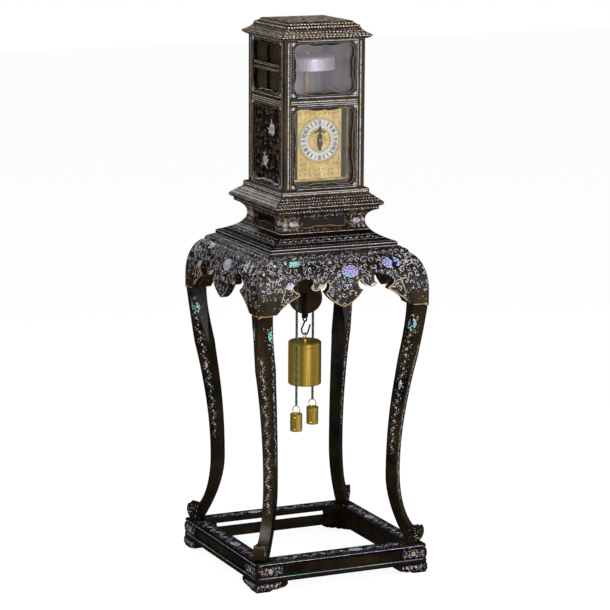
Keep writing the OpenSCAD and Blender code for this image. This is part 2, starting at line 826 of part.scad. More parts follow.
module pillar_shaft() rotate_extrude() polygon(concat(
    [[0, 0], [pillar_r + 2, 0], [pillar_r + 2, 3], [pillar_r - 0.7, 6]],
    quad([pillar_r - 0.7, 6], [pillar_r - 0.7, mv_h / 3], [pillar_r, mv_h / 2], 6),
    quad([pillar_r, mv_h / 2], [pillar_r - 0.7, 2 * mv_h / 3], [pillar_r - 0.7, mv_h - 6], 6),
    [[pillar_r + 2, mv_h - 3], [pillar_r + 2, mv_h], [0, mv_h]]
));

module pillar_finial() rotate_extrude() polygon(concat(
    [[0, 0], [pillar_r, 0], [pillar_r, 2], [pillar_r - 2, 3]],
    quad([pillar_r - 2, 3], [pillar_r + 1.5, 5], [0, 9], 6)
));

module movement_pillars() color(brass)
    for (sx = [-1, 1], sy = [-1, 1]) translate([sx * pillar_x, sy * pillar_y, 0]) {
        translate([0, 0, case_z]) pillar_foot();
        translate([0, 0, train_z]) pillar_shaft();
        translate([0, 0, deck_z]) pillar_finial();
    }

// Upright plates that carry the arbors, with the verge's lower cock and the crown wheel's potence
module pivot_bores(list, r) {
    for (p = list) translate([p[0], p[1]]) circle(r = r + run_gap);
}

module train_outline(list) difference() {
    translate([-train_half, train_z]) square([2 * train_half, mv_h]);
    children();
}

going_tips = [[second_x, second_z]];
strike_tips = [[-second_x, second_z], [0, third_z], [hammer_x, hammer_z]];
cock_z = third_z - crown_r - 12;

module front_train_plate() difference() {
    upright(-train_y, train_t) train_outline() {
        pivot_bores([[0, great_z]], great_arbor_r);
        pivot_bores(going_tips, tip_r);
        pivot_bores([[idler_x, idler_z], [0, dial_z]], 0.94);
    }
}

module middle_train_plate() upright(-mid_plate_half, 2 * mid_plate_half) train_outline() {
    pivot_bores([[0, great_z]], tip_r);
    pivot_bores(going_tips, tip_r);
    pivot_bores(strike_tips, tip_r);
}

module back_train_plate() upright(rear_face, train_t) train_outline() {
    pivot_bores([[0, great_z]], great_arbor_r);
    pivot_bores(strike_tips, tip_r);
    pivot_bores([[0, dial_z]], 0.94);
}

module verge_cock() difference() {
    translate([-4, -rear_face, cock_z]) cube([8, rear_face - verge_y + 5, 5]);
    translate([0, -verge_y, cock_z + 1]) cylinder(r = tip_r + run_gap, h = 5);
}

// Potence: a strip hung from the top plate behind the crown wheel
potence_y = crown_back_y - 3;
module potence() upright(-potence_y, 2) difference() {
    translate([-6, third_z - 7]) square([12, mv_top_z - third_z + 7]);
    translate([0, third_z]) circle(r = arbor_r + run_gap);
}

module stud(x, z, y0, y1) translate([x, 0, z]) rod_y(0.94 + run_gap, y0, y1);

module train_plates() color(brass) {
    front_train_plate();
    middle_train_plate();
    back_train_plate();
    verge_cock();
    potence();
}

// Gear wheels, drawn flat with one tooth centred on +X

function ring_points(n, rows) = [
    for (k = [0:n - 1], p = rows) let (a = 360 / n * (k + p[1])) [p[0] * cos(a), p[0] * sin(a)]
];
module gear(n, addendum, dedendum, root, flank, tip) {
    r = n * gear_m / 2;
    polygon(ring_points(n, [
        [r - dedendum * gear_m, -root], [r, -flank], [r + addendum * gear_m, -tip],
        [r + addendum * gear_m, tip], [r, flank], [r - dedendum * gear_m, root]
    ]));
}
module wheel_teeth(n) gear(n, 0.9, 1.15, 0.27, 0.21, 0.09);
module pinion_teeth(n) gear(n, 0.7, 1.2, 0.21, 0.18, 0.09);

// Four-armed wheel with a rim and a hub
module crossed_wheel(n) {
    r = n * gear_m / 2;
    rim = r - 4.5 * gear_m;
    hub = 0.2 * r + 2;
    arm = 3;
    difference() {
        wheel_teeth(n);
        difference() {
            circle(r = rim);
            circle(r = hub);
            for (a = [45, 135]) rotate(a) square([2 * r, arm], center = true);
        }
    }
}

// Turn of a pinion that puts it in mesh: the line of centres is at angle line,
// the driving wheel is turned by turn1 and has n1 teeth
function mesh(line, turn1, n1, n2) = line + 180 + (180 - (turn1 - line) * n1) / n2;

second_line = 90 - second_tilt;
second_turn = mesh(second_line, 0, great_n, leaf_n);
third_line = atan2(third_z - second_z, -second_x);
third_turn = mesh(third_line, second_turn, second_n, leaf_n);
idler_line = atan2(idler_dz, idler_x);
idler_turn = mesh(idler_line, 0, motion_n, idler_n);
hour_line = atan2(dial_z - idler_z, -idler_x);
hour_turn = mesh(hour_line, idler_turn, idler_n, hour_n);
count_turn = mesh(90, 0, count_pinion_n, count_n);

// The great arbor with its wheel; side is -1 for the going train and 1 for the striking train
module great_arbor(side, outer_n, outer_end) {
    wheel_at = side < 0 ? -great_wheel_y : great_wheel_y - wheel_t;
    inner = mid_plate_half + 0.2;
    translate([0, 0, great_z]) {
        upright(wheel_at, wheel_t) crossed_wheel(great_n);
        if (side < 0) rod_y(great_arbor_r, -outer_end, -inner);
        else rod_y(great_arbor_r, inner, outer_end);
        if (side < 0) rod_y(tip_r, -inner - 0.5, -0.2);
        else rod_y(tip_r, 0.2, inner + 0.5);
        if (side < 0) upright(-outer_end, wheel_t) pinion_teeth(outer_n);
        else upright(outer_end - wheel_t, wheel_t) pinion_teeth(outer_n);
    }
}

module going_great_wheel() color(brass) great_arbor(-1, motion_n, motion_y + wheel_t);
module strike_great_wheel() color(brass) great_arbor(1, count_pinion_n, motion_y + wheel_t);

// Rope sheave: two flanges with a round groove between them, wider than the rope, which leans in it
groove_slack = 1;
groove_play = 0.09;
module sheave(pitch, thick, bore, flange) {
    half = thick / 2;
    wide = rope_r + groove_slack;
    rotate_extrude() difference() {
        translate([bore, -half]) square([flange - bore, thick]);
        translate([pitch + groove_slack - groove_play, 0]) circle(r = wide);
        translate([pitch + groove_slack, -wide]) square([flange, 2 * wide]);
    }
}

sheave_flange = sheave_r + rope_r - 0.5;
sheave_t = 11;
module train_sheave(side) translate([0, side * sheave_y, great_z])
    rotate([90, 0, 0]) sheave(sheave_r, sheave_t, great_arbor_r, sheave_flange);

module going_sheave() color(wood) train_sheave(-1);
module strike_sheave() color(wood) train_sheave(1);

// An arbor with pivots at both ends; y0 and y1 are the faces of its plates
module light_arbor(y0, y1) {
    shake = 0.25;
    reach = 1.8;
    rod_y(arbor_r, y0 + shake, y1 - shake);
    rod_y(tip_r, y0 - reach, y0 + shake + 0.1);
    rod_y(tip_r, y1 - shake - 0.1, y1 + reach);
}

pinion_l = 5;

module going_second_wheel() color(brass) translate([second_x, 0, second_z]) {
    light_arbor(-rear_face, -mid_plate_half);
    upright(-great_wheel_y - 1, pinion_l) rotate(second_turn) pinion_teeth(leaf_n);
    upright(-second_wheel_y, wheel_t) rotate(second_turn) crossed_wheel(second_n);
}

// Crown wheel: saw teeth standing forward from the rim
module crown_wheel() color(brass) {
    teeth = 15;
    rim = 2;
    base = 3;
    translate([0, 0, third_z]) {
        difference() {
            translate([0, -crown_back_y, 0]) rotate([90, 0, 0]) difference() {
                cylinder(r = crown_r, h = crown_l);
                translate([0, 0, base]) cylinder(r = crown_r - rim, h = crown_l);
                translate([0, 0, -1]) linear_extrude(base + 2) difference() {
                    circle(r = crown_r - rim - 1);
                    circle(r = 5);
                    for (a = [0, 90]) rotate(a) square([2 * crown_r, 3], center = true);
                }
            }
            for (k = [0:teeth - 1]) rotate([0, 360 / teeth * k, 0])
                translate([0, -crown_back_y - base, crown_r - rim - 1]) linear_extrude(rim + 2)
                    polygon([[-3.4, -crown_l], [3.2, -crown_l], [2.2, 0], [-2.6, -0.5]]);
        }
        rod_y(arbor_r, -crown_back_y - 2, -mid_plate_half - 0.25);
        rod_y(tip_r, -mid_plate_half - 0.4, -0.3);
        upright(-second_wheel_y - 1, pinion_l) rotate(third_turn) pinion_teeth(leaf_n);
    }
}

// Verge: upright staff with two flags, one at the top and one at the bottom of the crown wheel
module verge() color(silver) {
    flag_l = 4;
    flag_h = 5;
    translate([0, -verge_y, 0]) {
        translate([0, 0, cock_z + 5.3]) cylinder(r = arbor_r, h = foliot_z - cock_z - 5.3);
        translate([0, 0, cock_z + 1.3]) cylinder(r = tip_r, h = 4.1);
        for (side = [-1, 1])
            translate([0, 0, third_z + side * (crown_r - 1) - flag_h / 2]) rotate([0, 0, 90 - 50 * side])
                translate([0, -0.5, 0]) cube([flag_l, 1, flag_h]);
    }
}

module foliot() color(iron) translate([0, -verge_y, foliot_z]) {
    cylinder(r = 5, h = foliot_t);
    translate([-foliot_l, -2.5, 0]) cube([2 * foliot_l, 5, foliot_t]);
    for (side = [-1, 1]) translate([side * foliot_weight_at, 0, 0]) {
        translate([0, 0, -8]) cylinder(r = 4, h = 8);
        translate([0, 0, foliot_t]) cylinder(r = 1.5, h = 2);
    }
}

pin_ring = gear_m * second_n / 2 - 3;
module pin_wheel() color(brass) translate([-second_x, 0, second_z]) {
    pins = 6;
    light_arbor(mid_plate_half, rear_face);
    upright(great_wheel_y - wheel_t - 1, pinion_l) rotate(180 - second_turn) pinion_teeth(leaf_n);
    upright(second_wheel_y - wheel_t, wheel_t) rotate(180 - second_turn) crossed_wheel(second_n);
    for (k = [0:pins - 1]) rotate([0, 360 / pins * k, 0]) translate([pin_ring, 0, 0])
        rod_y(1, second_wheel_y - 0.5, second_wheel_y + 5);
}

// Fly: a two-bladed air brake on the last arbor of the striking train
module fly() color(brass) translate([0, 0, third_z]) {
    blade_half = 15;
    light_arbor(mid_plate_half, rear_face);
    upright(second_wheel_y - wheel_t - 1, pinion_l) rotate(180 - third_turn) pinion_teeth(leaf_n);
    translate([-0.5, 24, -blade_half]) cube([1, 26, 2 * blade_half]);
    rod_y(3, 30, 44);
}

// Count wheel: notched rim behind the back plate, on its own stud
module count_wheel() color(brass) {
    translate([0, 0, dial_z]) {
        upright(motion_y, wheel_t) rotate(count_turn) crossed_wheel(count_n);
        difference() {
            upright(motion_y + wheel_t - 0.01, 3) difference() {
                circle(r = 24);
                circle(r = 21);
            }
            for (a = [0, 40, 90, 150, 215, 290]) rotate([0, a, 0])
                translate([-1.5, motion_y, 20]) cube([3, 10, 6]);
        }
        difference() {
            rod_y(4, motion_y - 0.01, motion_y + 5);
        }
        rod_y(0.94, rear_face + 0.2, motion_y);
    }
}

// Hammer: arbor, lifting tail and an arm that rises through the top plate and bends out round the bell's rim
hammer_head_l = 12;
module hammer() color(iron) {
    head_z = bell_z + hammer_dz;
    head_x = sqrt(bell_r * bell_r - pow(hammer_y - 5, 2)) + 1;
    outer_x = head_x + hammer_head_l / 2;
    bend_z = bell_z - 6;
    pin_clearance = 0.4;
    tail_l = sqrt(pow(hammer_x + second_x, 2) + pow(hammer_z - second_z, 2)) - pin_ring - 1 - pin_clearance;
    translate([hammer_x, 0, hammer_z]) {
        light_arbor(mid_plate_half, rear_face);
        translate([0, second_wheel_y + 2.5, 0]) rotate([0, 90 + atan2(hammer_z - second_z, hammer_x + second_x), 0])
            translate([-1.5, -1.5, -tail_l]) cube([3, 3, tail_l]);
        translate([-1.5, hammer_y - 1.5, 0]) cube([3, 3, bend_z - hammer_z]);
        rod_y(3.5, hammer_y - 3, hammer_y + 3);
    }
    translate([hammer_x - 1.5, hammer_y - 1.5, bend_z - 3]) cube([outer_x - hammer_x + 3, 3, 3]);
    translate([outer_x - 1.5, hammer_y - 1.5, bend_z - 3]) cube([3, 3, head_z - bend_z + 3]);
    translate([head_x, hammer_y, head_z]) rotate([0, 90, 0]) cylinder(r = 5, h = hammer_head_l);
}

// Dial

module dial_plate() color(brass) difference() {
    union() {
        upright(-dial_y - dial_t, dial_t)
            translate([-dial_w / 2, dial_foot_z]) square([dial_w, dial_h]);
        translate([0, 0, dial_z]) upright(-dial_y - dial_t - 1.2, 1.25) difference() {
            circle(r = chapter_r + 4.5);
            circle(r = chapter_r + 0.5);
        }
        translate([0, 0, dial_z]) upright(-dial_y - dial_t - 0.8, 0.85) circle(r = chapter_inner_r - 0.5);
    }
    translate([0, 0, dial_z]) rod_y(4.1, -dial_y - 5, -dial_y + 1);
    translate([0, 0, dial_z]) upright(-dial_y - dial_t - 2, 2.6) day_aperture();
}

// Arc-shaped window above the centre of the dial
module day_aperture() intersection() {
    difference() {
        circle(r = chapter_inner_r - 1.5);
        circle(r = 17.5);
    }
    polygon([[0, 0], [30, 36], [-30, 36]]);
}

module chapter_ring() color("#efece4") translate([0, 0, dial_z])
    upright(-dial_y - dial_t - 1, 1) difference() {
        circle(r = chapter_r);
        circle(r = chapter_inner_r);
    }

hand_y = dial_y + dial_t + 3;

module hour_hand() color(iron) translate([0, 0, dial_z]) upright(-hand_y - 1.5, 1.5) {
    side = concat(
        quad([0, -hand_down], [4.5, 2 - hand_down], [2.2, -14], 4),
        quad([2.2, -14], [7, -11], [5, -3], 5),
        quad([5, -3], [7, 0], [4.6, 3], 4),
        quad([4.6, 3], [6, 10], [1.5, 14], 5),
        [[1.2, hand_up - 13], [2.6, hand_up - 9]]
    );
    difference() {
        polygon(concat([[0, -hand_down]], side, [[0, hand_up]], [for (p = flip(side)) [-p[0], p[1]]]));
        circle(r = 3.05);
    }
}

module hour_wheel() color(brass) translate([0, 0, dial_z]) {
    upright(-motion_y - wheel_t, wheel_t) rotate(hour_turn) crossed_wheel(hour_n);
    rod_y(3, -hand_y - 2.2, -motion_y);
    rod_y(0.94, -motion_y - 0.01, -rear_face - 0.2);
}

module idler_wheel() color(brass) translate([idler_x, 0, idler_z]) {
    upright(-motion_y - wheel_t, wheel_t) rotate(idler_turn) pinion_teeth(idler_n);
    rod_y(2, -motion_y, -train_y - 0.3);
    rod_y(0.94, -motion_y - 0.01, -rear_face - 0.2);
}

// Bell

module bell() color(silver) translate([0, 0, bell_z]) rotate_extrude() polygon(concat(
    [[bell_r - bell_t, 0], [bell_r, 0], [bell_r - 0.5, bell_h - 9]],
    quad([bell_r - 0.5, bell_h - 9], [bell_r - 1.2, bell_h - 2], [bell_r - 11, bell_h - 1], 6),
    [[bell_r - 28, bell_h], [3, bell_h], [3, bell_h - bell_t], [bell_r - 28, bell_h - bell_t]],
    [[bell_r - 12, bell_h - 1 - bell_t]],
    quad([bell_r - 12, bell_h - 1 - bell_t], [bell_r - bell_t - 1.2, bell_h - 1.5 - bell_t],
         [bell_r - bell_t - 0.5, bell_h - 10], 6)
));

// The post's turned rings are drawn for this height and drawn out to the one that it has
post_rings = 102.5;
module bell_post() color(brass) {
    shoulder_top = bell_z + bell_h - bell_t;
    h = shoulder_top - deck_z;
    rings = concat(
        [[0, 0], [9.5, 0], [9.5, 3], [6.5, 6]],
        quad([6.5, 6], [4.8, 14], [5.4, 26], 5),
        [[8, 29], [8, 32], [5.4, 35]],
        quad([5.4, 35], [5.2, 48], [6.6, 56], 4),
        [[6.6, 62]], quad([6.6, 62], [4, 68], [3.8, 80], 4),
        [[4.5, post_rings - 4], [5.5, post_rings - 2], [5.5, post_rings], [0, post_rings]]
    );
    translate([0, 0, deck_z]) rotate_extrude() polygon([for (p = rings) [p[0], p[1] * h / post_rings]]);
    translate([0, 0, shoulder_top - 0.1]) cylinder(r = 2.9, h = bell_t + 0.2);
    translate([0, 0, bell_z + bell_h]) rotate_extrude() polygon(concat(
        [[0, 0], [6, 0], [6, 3], [3, 4]], quad([3, 4], [7, 8], [0, 13], 6)
    ));
}

// Rope: swept as triangles along rings, each ring a centre and two directions across the rope

rope_sides = 8;
function ring(f) = [
    for (k = [0:rope_sides - 1]) let (a = 360 / rope_sides * k)
        f[0] + rope_r * (cos(a) * f[1] + sin(a) * f[2])
];
module rope(frames) {
    n = len(frames);
    s = rope_sides;
    side_faces = [
        for (i = [0:n - 2], k = [0:s - 1], half = [0, 1])
            let (a = i * s + k, b = i * s + (k + 1) % s)
                half == 0 ? [a, b, b + s] : [a, b + s, a + s]
    ];
    start_cap = [for (k = [1:s - 2]) [0, k + 1, k]];
    end_cap = [for (k = [1:s - 2]) [(n - 1) * s, (n - 1) * s + k, (n - 1) * s + k + 1]];
    polyhedron([for (f = frames) each ring(f)], concat(side_faces, start_cap, end_cap));
}

// Over a sheave, from its left side up and over to its right side
function over(y) = [
    for (i = [0:30]) let (a = 180 - 6 * i)
        [[sheave_r * cos(a), y, great_z + sheave_r * sin(a)], [cos(a), 0, sin(a)], [0, 1, 0]]
];
module sheave_rope() color(green) {
    rope(over(-sheave_y));
    rope(over(sheave_y));
}

// A tail hangs straight from its sheave to the wire loop of its counterweight
function drop(x, y, z0, z1) = [
    for (i = [0:6]) [[x, y, z0 + (z1 - z0) * i / 6], [1, 0, 0], [0, 1, 0]]
];
module front_tail_rope() color(green)
    rope(drop(-sheave_r, -sheave_y, great_z, counter_front_z + counter_loop_h));
module back_tail_rope() color(green)
    rope(drop(sheave_r, sheave_y, great_z, counter_back_z + counter_loop_h));

// The fall runs down from the going sheave, round the weight pulley and up to the striking sheave
fall_u = [cos(diagonal), sin(diagonal), 0];
fall_w = [-sin(diagonal), cos(diagonal), 0];
function lean(side, t) = let (top = [side * sheave_r, -side * sheave_y, great_z],
    low = side * pulley_r * fall_u + [0, 0, pulley_z], a = diagonal * t,
    e1 = [side * cos(a), side * sin(a), 0], e2 = [-sin(a), cos(a), 0])
        [top + (low - top) * t, e1, e2];
fall_frames = concat(
    [for (i = [0:5]) lean(1, i / 5)],
    [for (i = [1:29]) let (a = -6 * i)
        [[0, 0, pulley_z] + pulley_r * (cos(a) * fall_u + sin(a) * [0, 0, 1]),
         cos(a) * fall_u + sin(a) * [0, 0, 1], fall_w]],
    [for (i = [5:-1:0]) lean(-1, i / 5)]
);
module fall_rope() color(green) rope(fall_frames);

// Weights

// Turns what is drawn facing -Y to face along the pulley's own axis
module on_pulley() translate([0, 0, pulley_z]) rotate([0, 0, diagonal]) children();

pin_r = 2.5;
module pulley_wheel() color(wood) on_pulley()
    rotate([90, 0, 0]) sheave(pulley_r, pulley_t, pin_r + run_gap, pulley_flange_r);

// Straight lengths of the hook's wire through points of [distance along the strap, height]
module wire_run(points) for (i = [0:len(points) - 2]) {
    step = points[i + 1] - points[i];
    translate([points[i][0], 0, points[i][1]]) rotate([0, atan2(step[0], step[1]), 0])
        cylinder(r = hook_wire, h = norm(step));
    for (end = [i, i + 1]) translate([points[end][0], 0, points[end][1]]) sphere(r = hook_wire + 0.2);
}

module pulley_strap() color(iron) {
    cheek = pulley_t / 2 + 0.5;
    cheek_t = 2;
    below = pulley_flange_r + 6;
    on_pulley() {
        for (side = [-1, 1]) translate([-strap_w / 2, side > 0 ? cheek : -cheek - cheek_t, -below])
            cube([strap_w, cheek_t, below + 9]);
        translate([-strap_w / 2, -cheek - cheek_t, -below - 3]) cube([strap_w, 2 * (cheek + cheek_t), 4]);
        rod_y(pin_r, -cheek - cheek_t - 1, cheek + cheek_t + 1);
        eye_z = -below - 3 - eye_r;
        hook_dz = hook_z - pulley_z;
        translate([0, 0, eye_z]) rotate([90, 0, 0])
            rotate_extrude() translate([eye_r, 0]) circle(r = hook_wire, $fn = 24);
        wire_run([[0, eye_z - eye_r], [-hook_r, hook_dz + 5], [-hook_r, hook_dz]]);
        wire_run([[hook_r, hook_dz], [hook_r + 4.5, hook_dz + 15]]);
        translate([0, 0, hook_dz]) rotate([90, 0, 0]) rotate([0, 0, 180])
            rotate_extrude(angle = 180) translate([hook_r, 0]) circle(r = hook_wire, $fn = 24);
    }
}

module driving_weight() color(brass) {
    translate([0, 0, weight_top - weight_h]) rotate_extrude() polygon([
        [0, 0], [weight_r - 2, 0], [weight_r, 2], [weight_r, weight_h - 12], [weight_r - 0.8, weight_h - 11],
        [weight_r, weight_h - 10], [weight_r, weight_h - 3], [weight_r - 3, weight_h], [0, weight_h]
    ]);
    translate([0, 0, loop_z]) rotate([0, 0, diagonal]) rotate([90, 0, 90])
        rotate_extrude() translate([loop_r, 0]) circle(r = loop_wire, $fn = 24);
    translate([0, 0, weight_top - 0.5]) cylinder(r = 3, h = loop_z - loop_r - weight_top + 0.8);
}

module counterweight(x, y, top) {
    band = 0.6;
    translate([x, y, top - counter_h]) rotate_extrude() polygon([
        [0, 0], [counter_r - 1, 0], [counter_r, 1], [counter_r, 5], [counter_r - band, 6],
        [counter_r, 7], [counter_r, counter_h - 7], [counter_r - band, counter_h - 6],
        [counter_r, counter_h - 5], [counter_r, counter_h - 1], [counter_r - 1, counter_h], [0, counter_h]
    ]);
    wire = 1;
    loop = (counter_loop_h - wire) / 2;
    translate([x, y, top + loop]) rotate([0, 0, diagonal]) rotate([90, 0, 0])
        rotate_extrude() translate([loop, 0]) circle(r = wire, $fn = 24);
}

module front_counterweight() color(brass) counterweight(-sheave_r, -sheave_y, counter_front_z);
module back_counterweight() color(brass) counterweight(sheave_r, sheave_y, counter_back_z);

bracket_feet();
front_rail();
back_rail();
left_rail();
right_rail();
front_left_leg();
front_right_leg();
back_left_leg();
back_right_leg();
front_apron();
back_apron();
left_apron();
right_apron();
stand_top();
waist_boards();
case_flange();
case_floor();
corner_posts();
mid_rails();
side_window_frames();
side_panels();
side_glass();
upper_door_frame();
upper_door_glass();
lower_door_frame();
lower_door_glass();
back_door();
cornice();
roof_cap();
movement_plates();
movement_pillars();
train_plates();
dial_plate();
chapter_ring();
hour_hand();
hour_wheel();
idler_wheel();
going_great_wheel();
going_sheave();
going_second_wheel();
crown_wheel();
verge();
foliot();
strike_great_wheel();
strike_sheave();
pin_wheel();
fly();
count_wheel();
hammer();
bell();
bell_post();
sheave_rope();
front_tail_rope();
back_tail_rope();
fall_rope();
pulley_wheel();
pulley_strap();
driving_weight();
front_counterweight();
back_counterweight();
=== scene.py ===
"""A lacquered pillar clock on its tall stand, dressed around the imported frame."""
import math
import random

import bmesh
import bpy
from mathutils import Matrix, Vector
from mathutils.bvhtree import BVHTree


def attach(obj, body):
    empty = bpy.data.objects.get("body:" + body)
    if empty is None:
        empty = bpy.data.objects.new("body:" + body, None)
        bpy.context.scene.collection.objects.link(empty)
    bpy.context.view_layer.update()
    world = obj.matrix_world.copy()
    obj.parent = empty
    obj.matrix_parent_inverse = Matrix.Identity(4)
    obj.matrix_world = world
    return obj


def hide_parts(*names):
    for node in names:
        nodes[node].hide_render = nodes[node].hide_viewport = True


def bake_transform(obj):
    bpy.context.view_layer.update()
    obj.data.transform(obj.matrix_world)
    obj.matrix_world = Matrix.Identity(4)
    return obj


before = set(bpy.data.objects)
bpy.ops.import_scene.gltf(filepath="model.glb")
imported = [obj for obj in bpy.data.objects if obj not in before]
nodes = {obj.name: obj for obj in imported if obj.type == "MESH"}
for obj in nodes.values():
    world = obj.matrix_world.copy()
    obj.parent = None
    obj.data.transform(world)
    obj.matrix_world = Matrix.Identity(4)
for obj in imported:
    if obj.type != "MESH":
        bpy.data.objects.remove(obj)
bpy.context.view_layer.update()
MM = 0.001

# Camera. It stands in front of the clock and to its left, a little above it, and looks down through a
# long lens, so that upright edges stay nearly parallel. Its place and the lamps' are in metres.
CAMERA_TURN = math.radians(-24.665)
CAMERA_REACH = 5.7256
CAMERA_HEIGHT = 1.7053
CAMERA_PITCH = math.radians(-11.150)
CAMERA_ROLL = math.radians(0.323)
CAMERA_SEES_TO = 40
SENSOR = 36.0
LENS_IN_PIXELS = 2658.6
PHOTO_WIDTH = 610
X = Vector((1, 0, 0))
Y = Vector((0, 1, 0))
Z = Vector((0, 0, 1))

camera_data = bpy.data.cameras.new("camera")
camera_data.sensor_width = SENSOR
camera_data.lens = LENS_IN_PIXELS / PHOTO_WIDTH * SENSOR
camera_data.clip_end = CAMERA_SEES_TO
camera = bpy.data.objects.new("camera", camera_data)
bpy.context.scene.collection.objects.link(camera)
ahead = Vector((-math.sin(CAMERA_TURN) * math.cos(CAMERA_PITCH),
                math.cos(CAMERA_TURN) * math.cos(CAMERA_PITCH), math.sin(CAMERA_PITCH)))
level = ahead.cross(Z).normalized()
upright = level.cross(ahead)
right = math.cos(CAMERA_ROLL) * level + math.sin(CAMERA_ROLL) * upright
up = math.cos(CAMERA_ROLL) * upright - math.sin(CAMERA_ROLL) * level
place = Vector((CAMERA_REACH * math.sin(CAMERA_TURN), -CAMERA_REACH * math.cos(CAMERA_TURN), CAMERA_HEIGHT))
camera.matrix_world = Matrix((
    (right.x, up.x, -ahead.x, place.x), (right.y, up.y, -ahead.y, place.y),
    (right.z, up.z, -ahead.z, place.z), (0, 0, 0, 1)))
bpy.context.scene.camera = camera
bpy.context.scene.view_settings.view_transform = "Standard"


# Floor and light. A white paper floor with a faint shadow, in a surround that camera and glass see as
# white and gloss sees as dim. Six soft lamps: a key on the left, one in front, a fill on the right, one
# overhead, a small one behind for the left shoulder's edge, and a low card in front for the gloss.
def linear(code):
    """A colour written as sRGB hex, as Blender's linear numbers."""
    parts = [int(code[i:i + 2], 16) / 255 for i in (1, 3, 5)]
    return [*(p / 12.92 if p <= 0.04045 else ((p + 0.055) / 1.055) ** 2.4 for p in parts), 1.0]


def add(tree, kind, links=None, **settings):
    """Adds a node. links gives its inputs, by name or number: another node, which stands for its first
    output, a socket, a colour as hex, or a plain value."""
    node = tree.nodes.new(kind)
    for key, value in settings.items():
        setattr(node, key, value)
    for key, value in (links or {}).items():
        if isinstance(value, bpy.types.Node):
            value = value.outputs[0]
        if isinstance(value, str):
            value = linear(value)
        if isinstance(value, bpy.types.NodeSocket):
            tree.links.new(value, node.inputs[key])
        else:
            node.inputs[key].default_value = value
    return node


def new_material(name):
    """An empty material, with its tree."""
    made = bpy.data.materials.new(name)
    made.use_nodes = True
    made.node_tree.nodes.clear()
    return made, made.node_tree


world = bpy.data.worlds.new("studio")
bpy.context.scene.world = world
world.use_nodes = True
tree = world.node_tree
tree.nodes.clear()
rays = add(tree, "ShaderNodeLightPath")
seen = add(tree, "ShaderNodeMath", {
    0: rays.outputs["Is Camera Ray"], 1: rays.outputs["Is Transmission Ray"]}, operation="MAXIMUM")
soft_sky = add(tree, "ShaderNodeBackground", {"Color": "#dfe3e8", "Strength": 0.42})
gloss_sky = add(tree, "ShaderNodeBackground", {"Color": "#e4e6ea", "Strength": 0.06})
white_sky = add(tree, "ShaderNodeBackground", {"Color": "#ffffff", "Strength": 1.0})
inner = add(tree, "ShaderNodeMixShader", {0: rays.outputs["Is Glossy Ray"], 1: soft_sky, 2: gloss_sky})
outer = add(tree, "ShaderNodeMixShader", {0: seen, 1: inner, 2: white_sky})
add(tree, "ShaderNodeOutputWorld", {"Surface": outer})

FLOOR_SIDE = 9
FLOOR_FRONT = -7
FLOOR_BACK = 11
floor_mesh = bpy.data.meshes.new("floor")
floor_mesh.from_pydata([(-FLOOR_SIDE, FLOOR_FRONT, 0), (FLOOR_SIDE, FLOOR_FRONT, 0),
                        (FLOOR_SIDE, FLOOR_BACK, 0), (-FLOOR_SIDE, FLOOR_BACK, 0)], [], [(0, 1, 2, 3)])
floor = bpy.data.objects.new("floor", floor_mesh)
bpy.context.scene.collection.objects.link(floor)
# White paper: dull, and so bright to the camera that only the clock's shadow shows on it. Gloss sees it as
# dark grey, so that the lacquer stays deep.
paper, tree = new_material("white_paper")
rays = add(tree, "ShaderNodeLightPath")
shown = add(tree, "ShaderNodeMix", {
    0: rays.outputs["Is Glossy Ray"], 6: "#f4f4f2", 7: "#4c4c4e"}, data_type="RGBA")
matt = add(tree, "ShaderNodeBsdfDiffuse", {"Color": shown.outputs[2]})
glow = add(tree, "ShaderNodeEmission", {"Color": "#ffffff", "Strength": 1.09})
share = add(tree, "ShaderNodeMath", {0: rays.outputs["Is Camera Ray"], 1: 0.85}, operation="MULTIPLY")
both = add(tree, "ShaderNodeMixShader", {0: share, 1: matt, 2: glow})
add(tree, "ShaderNodeOutputMaterial", {"Surface": both})
floor_mesh.materials.append(paper)


def soft_box(name, spot, aim, width, height, power):
    """A soft lamp of width by height at spot, turned to aim, of power watts."""
    lamp = bpy.data.lights.new(name, "AREA")
    lamp.shape = "RECTANGLE"
    lamp.size = width
    lamp.size_y = height
    lamp.energy = power
    holder = bpy.data.objects.new(name, lamp)
    bpy.context.scene.collection.objects.link(holder)
    holder.location = spot
    holder.rotation_euler = (Vector(aim) - Vector(spot)).to_track_quat("-Z", "Y").to_euler()


soft_box("key", (-2.6, -1.3, 2.3), (0, 0, 0.75), 0.8, 2.0, 46)
soft_box("front", (0.6, -4.2, 1.9), (0, 0, 0.6), 1.6, 1.4, 62)
soft_box("fill", (2.9, -1.6, 1.5), (0, 0, 0.7), 0.9, 1.8, 30)
soft_box("overhead", (0.1, -0.2, 3.2), (0, 0, 1.0), 1.6, 1.6, 26)
soft_box("shoulder_edge", (-0.22, 2.5, 1.93), (-0.18, 0, 0.70), 0.4, 0.3, 1.2)
soft_box("low_card", (0.85, -2.7, 0.75), (0, 0, 0.9), 3.7, 1.1, 20)


# Rope. One long cord of two green strands and one darker, laid together by hand and 6 mm thick. It
# runs over both sheaves and round the pulley, and its two tails hang down to the counterweights.
ROPE_R = 3.0
SHEAVE_R = 37.0
SHEAVE_Y = 38.0
SHEAVE_Z = 912.0
PULLEY_R = 33.5
PULLEY_Z = 596.0
# Length of rope in which a strand goes round once, and steps along the rope and across a strand
ROPE_LAY = 17.0
ROPE_STEP = 1.6
STRAND_STEPS = 5
# Depth of the groove between two strands, as a share of the rope's radius
GROOVE = 0.24
DARK_STRAND = 2


def per_metre(size):
    """The scale of a pattern whose grains are this many millimetres wide."""
    return 1000 / size


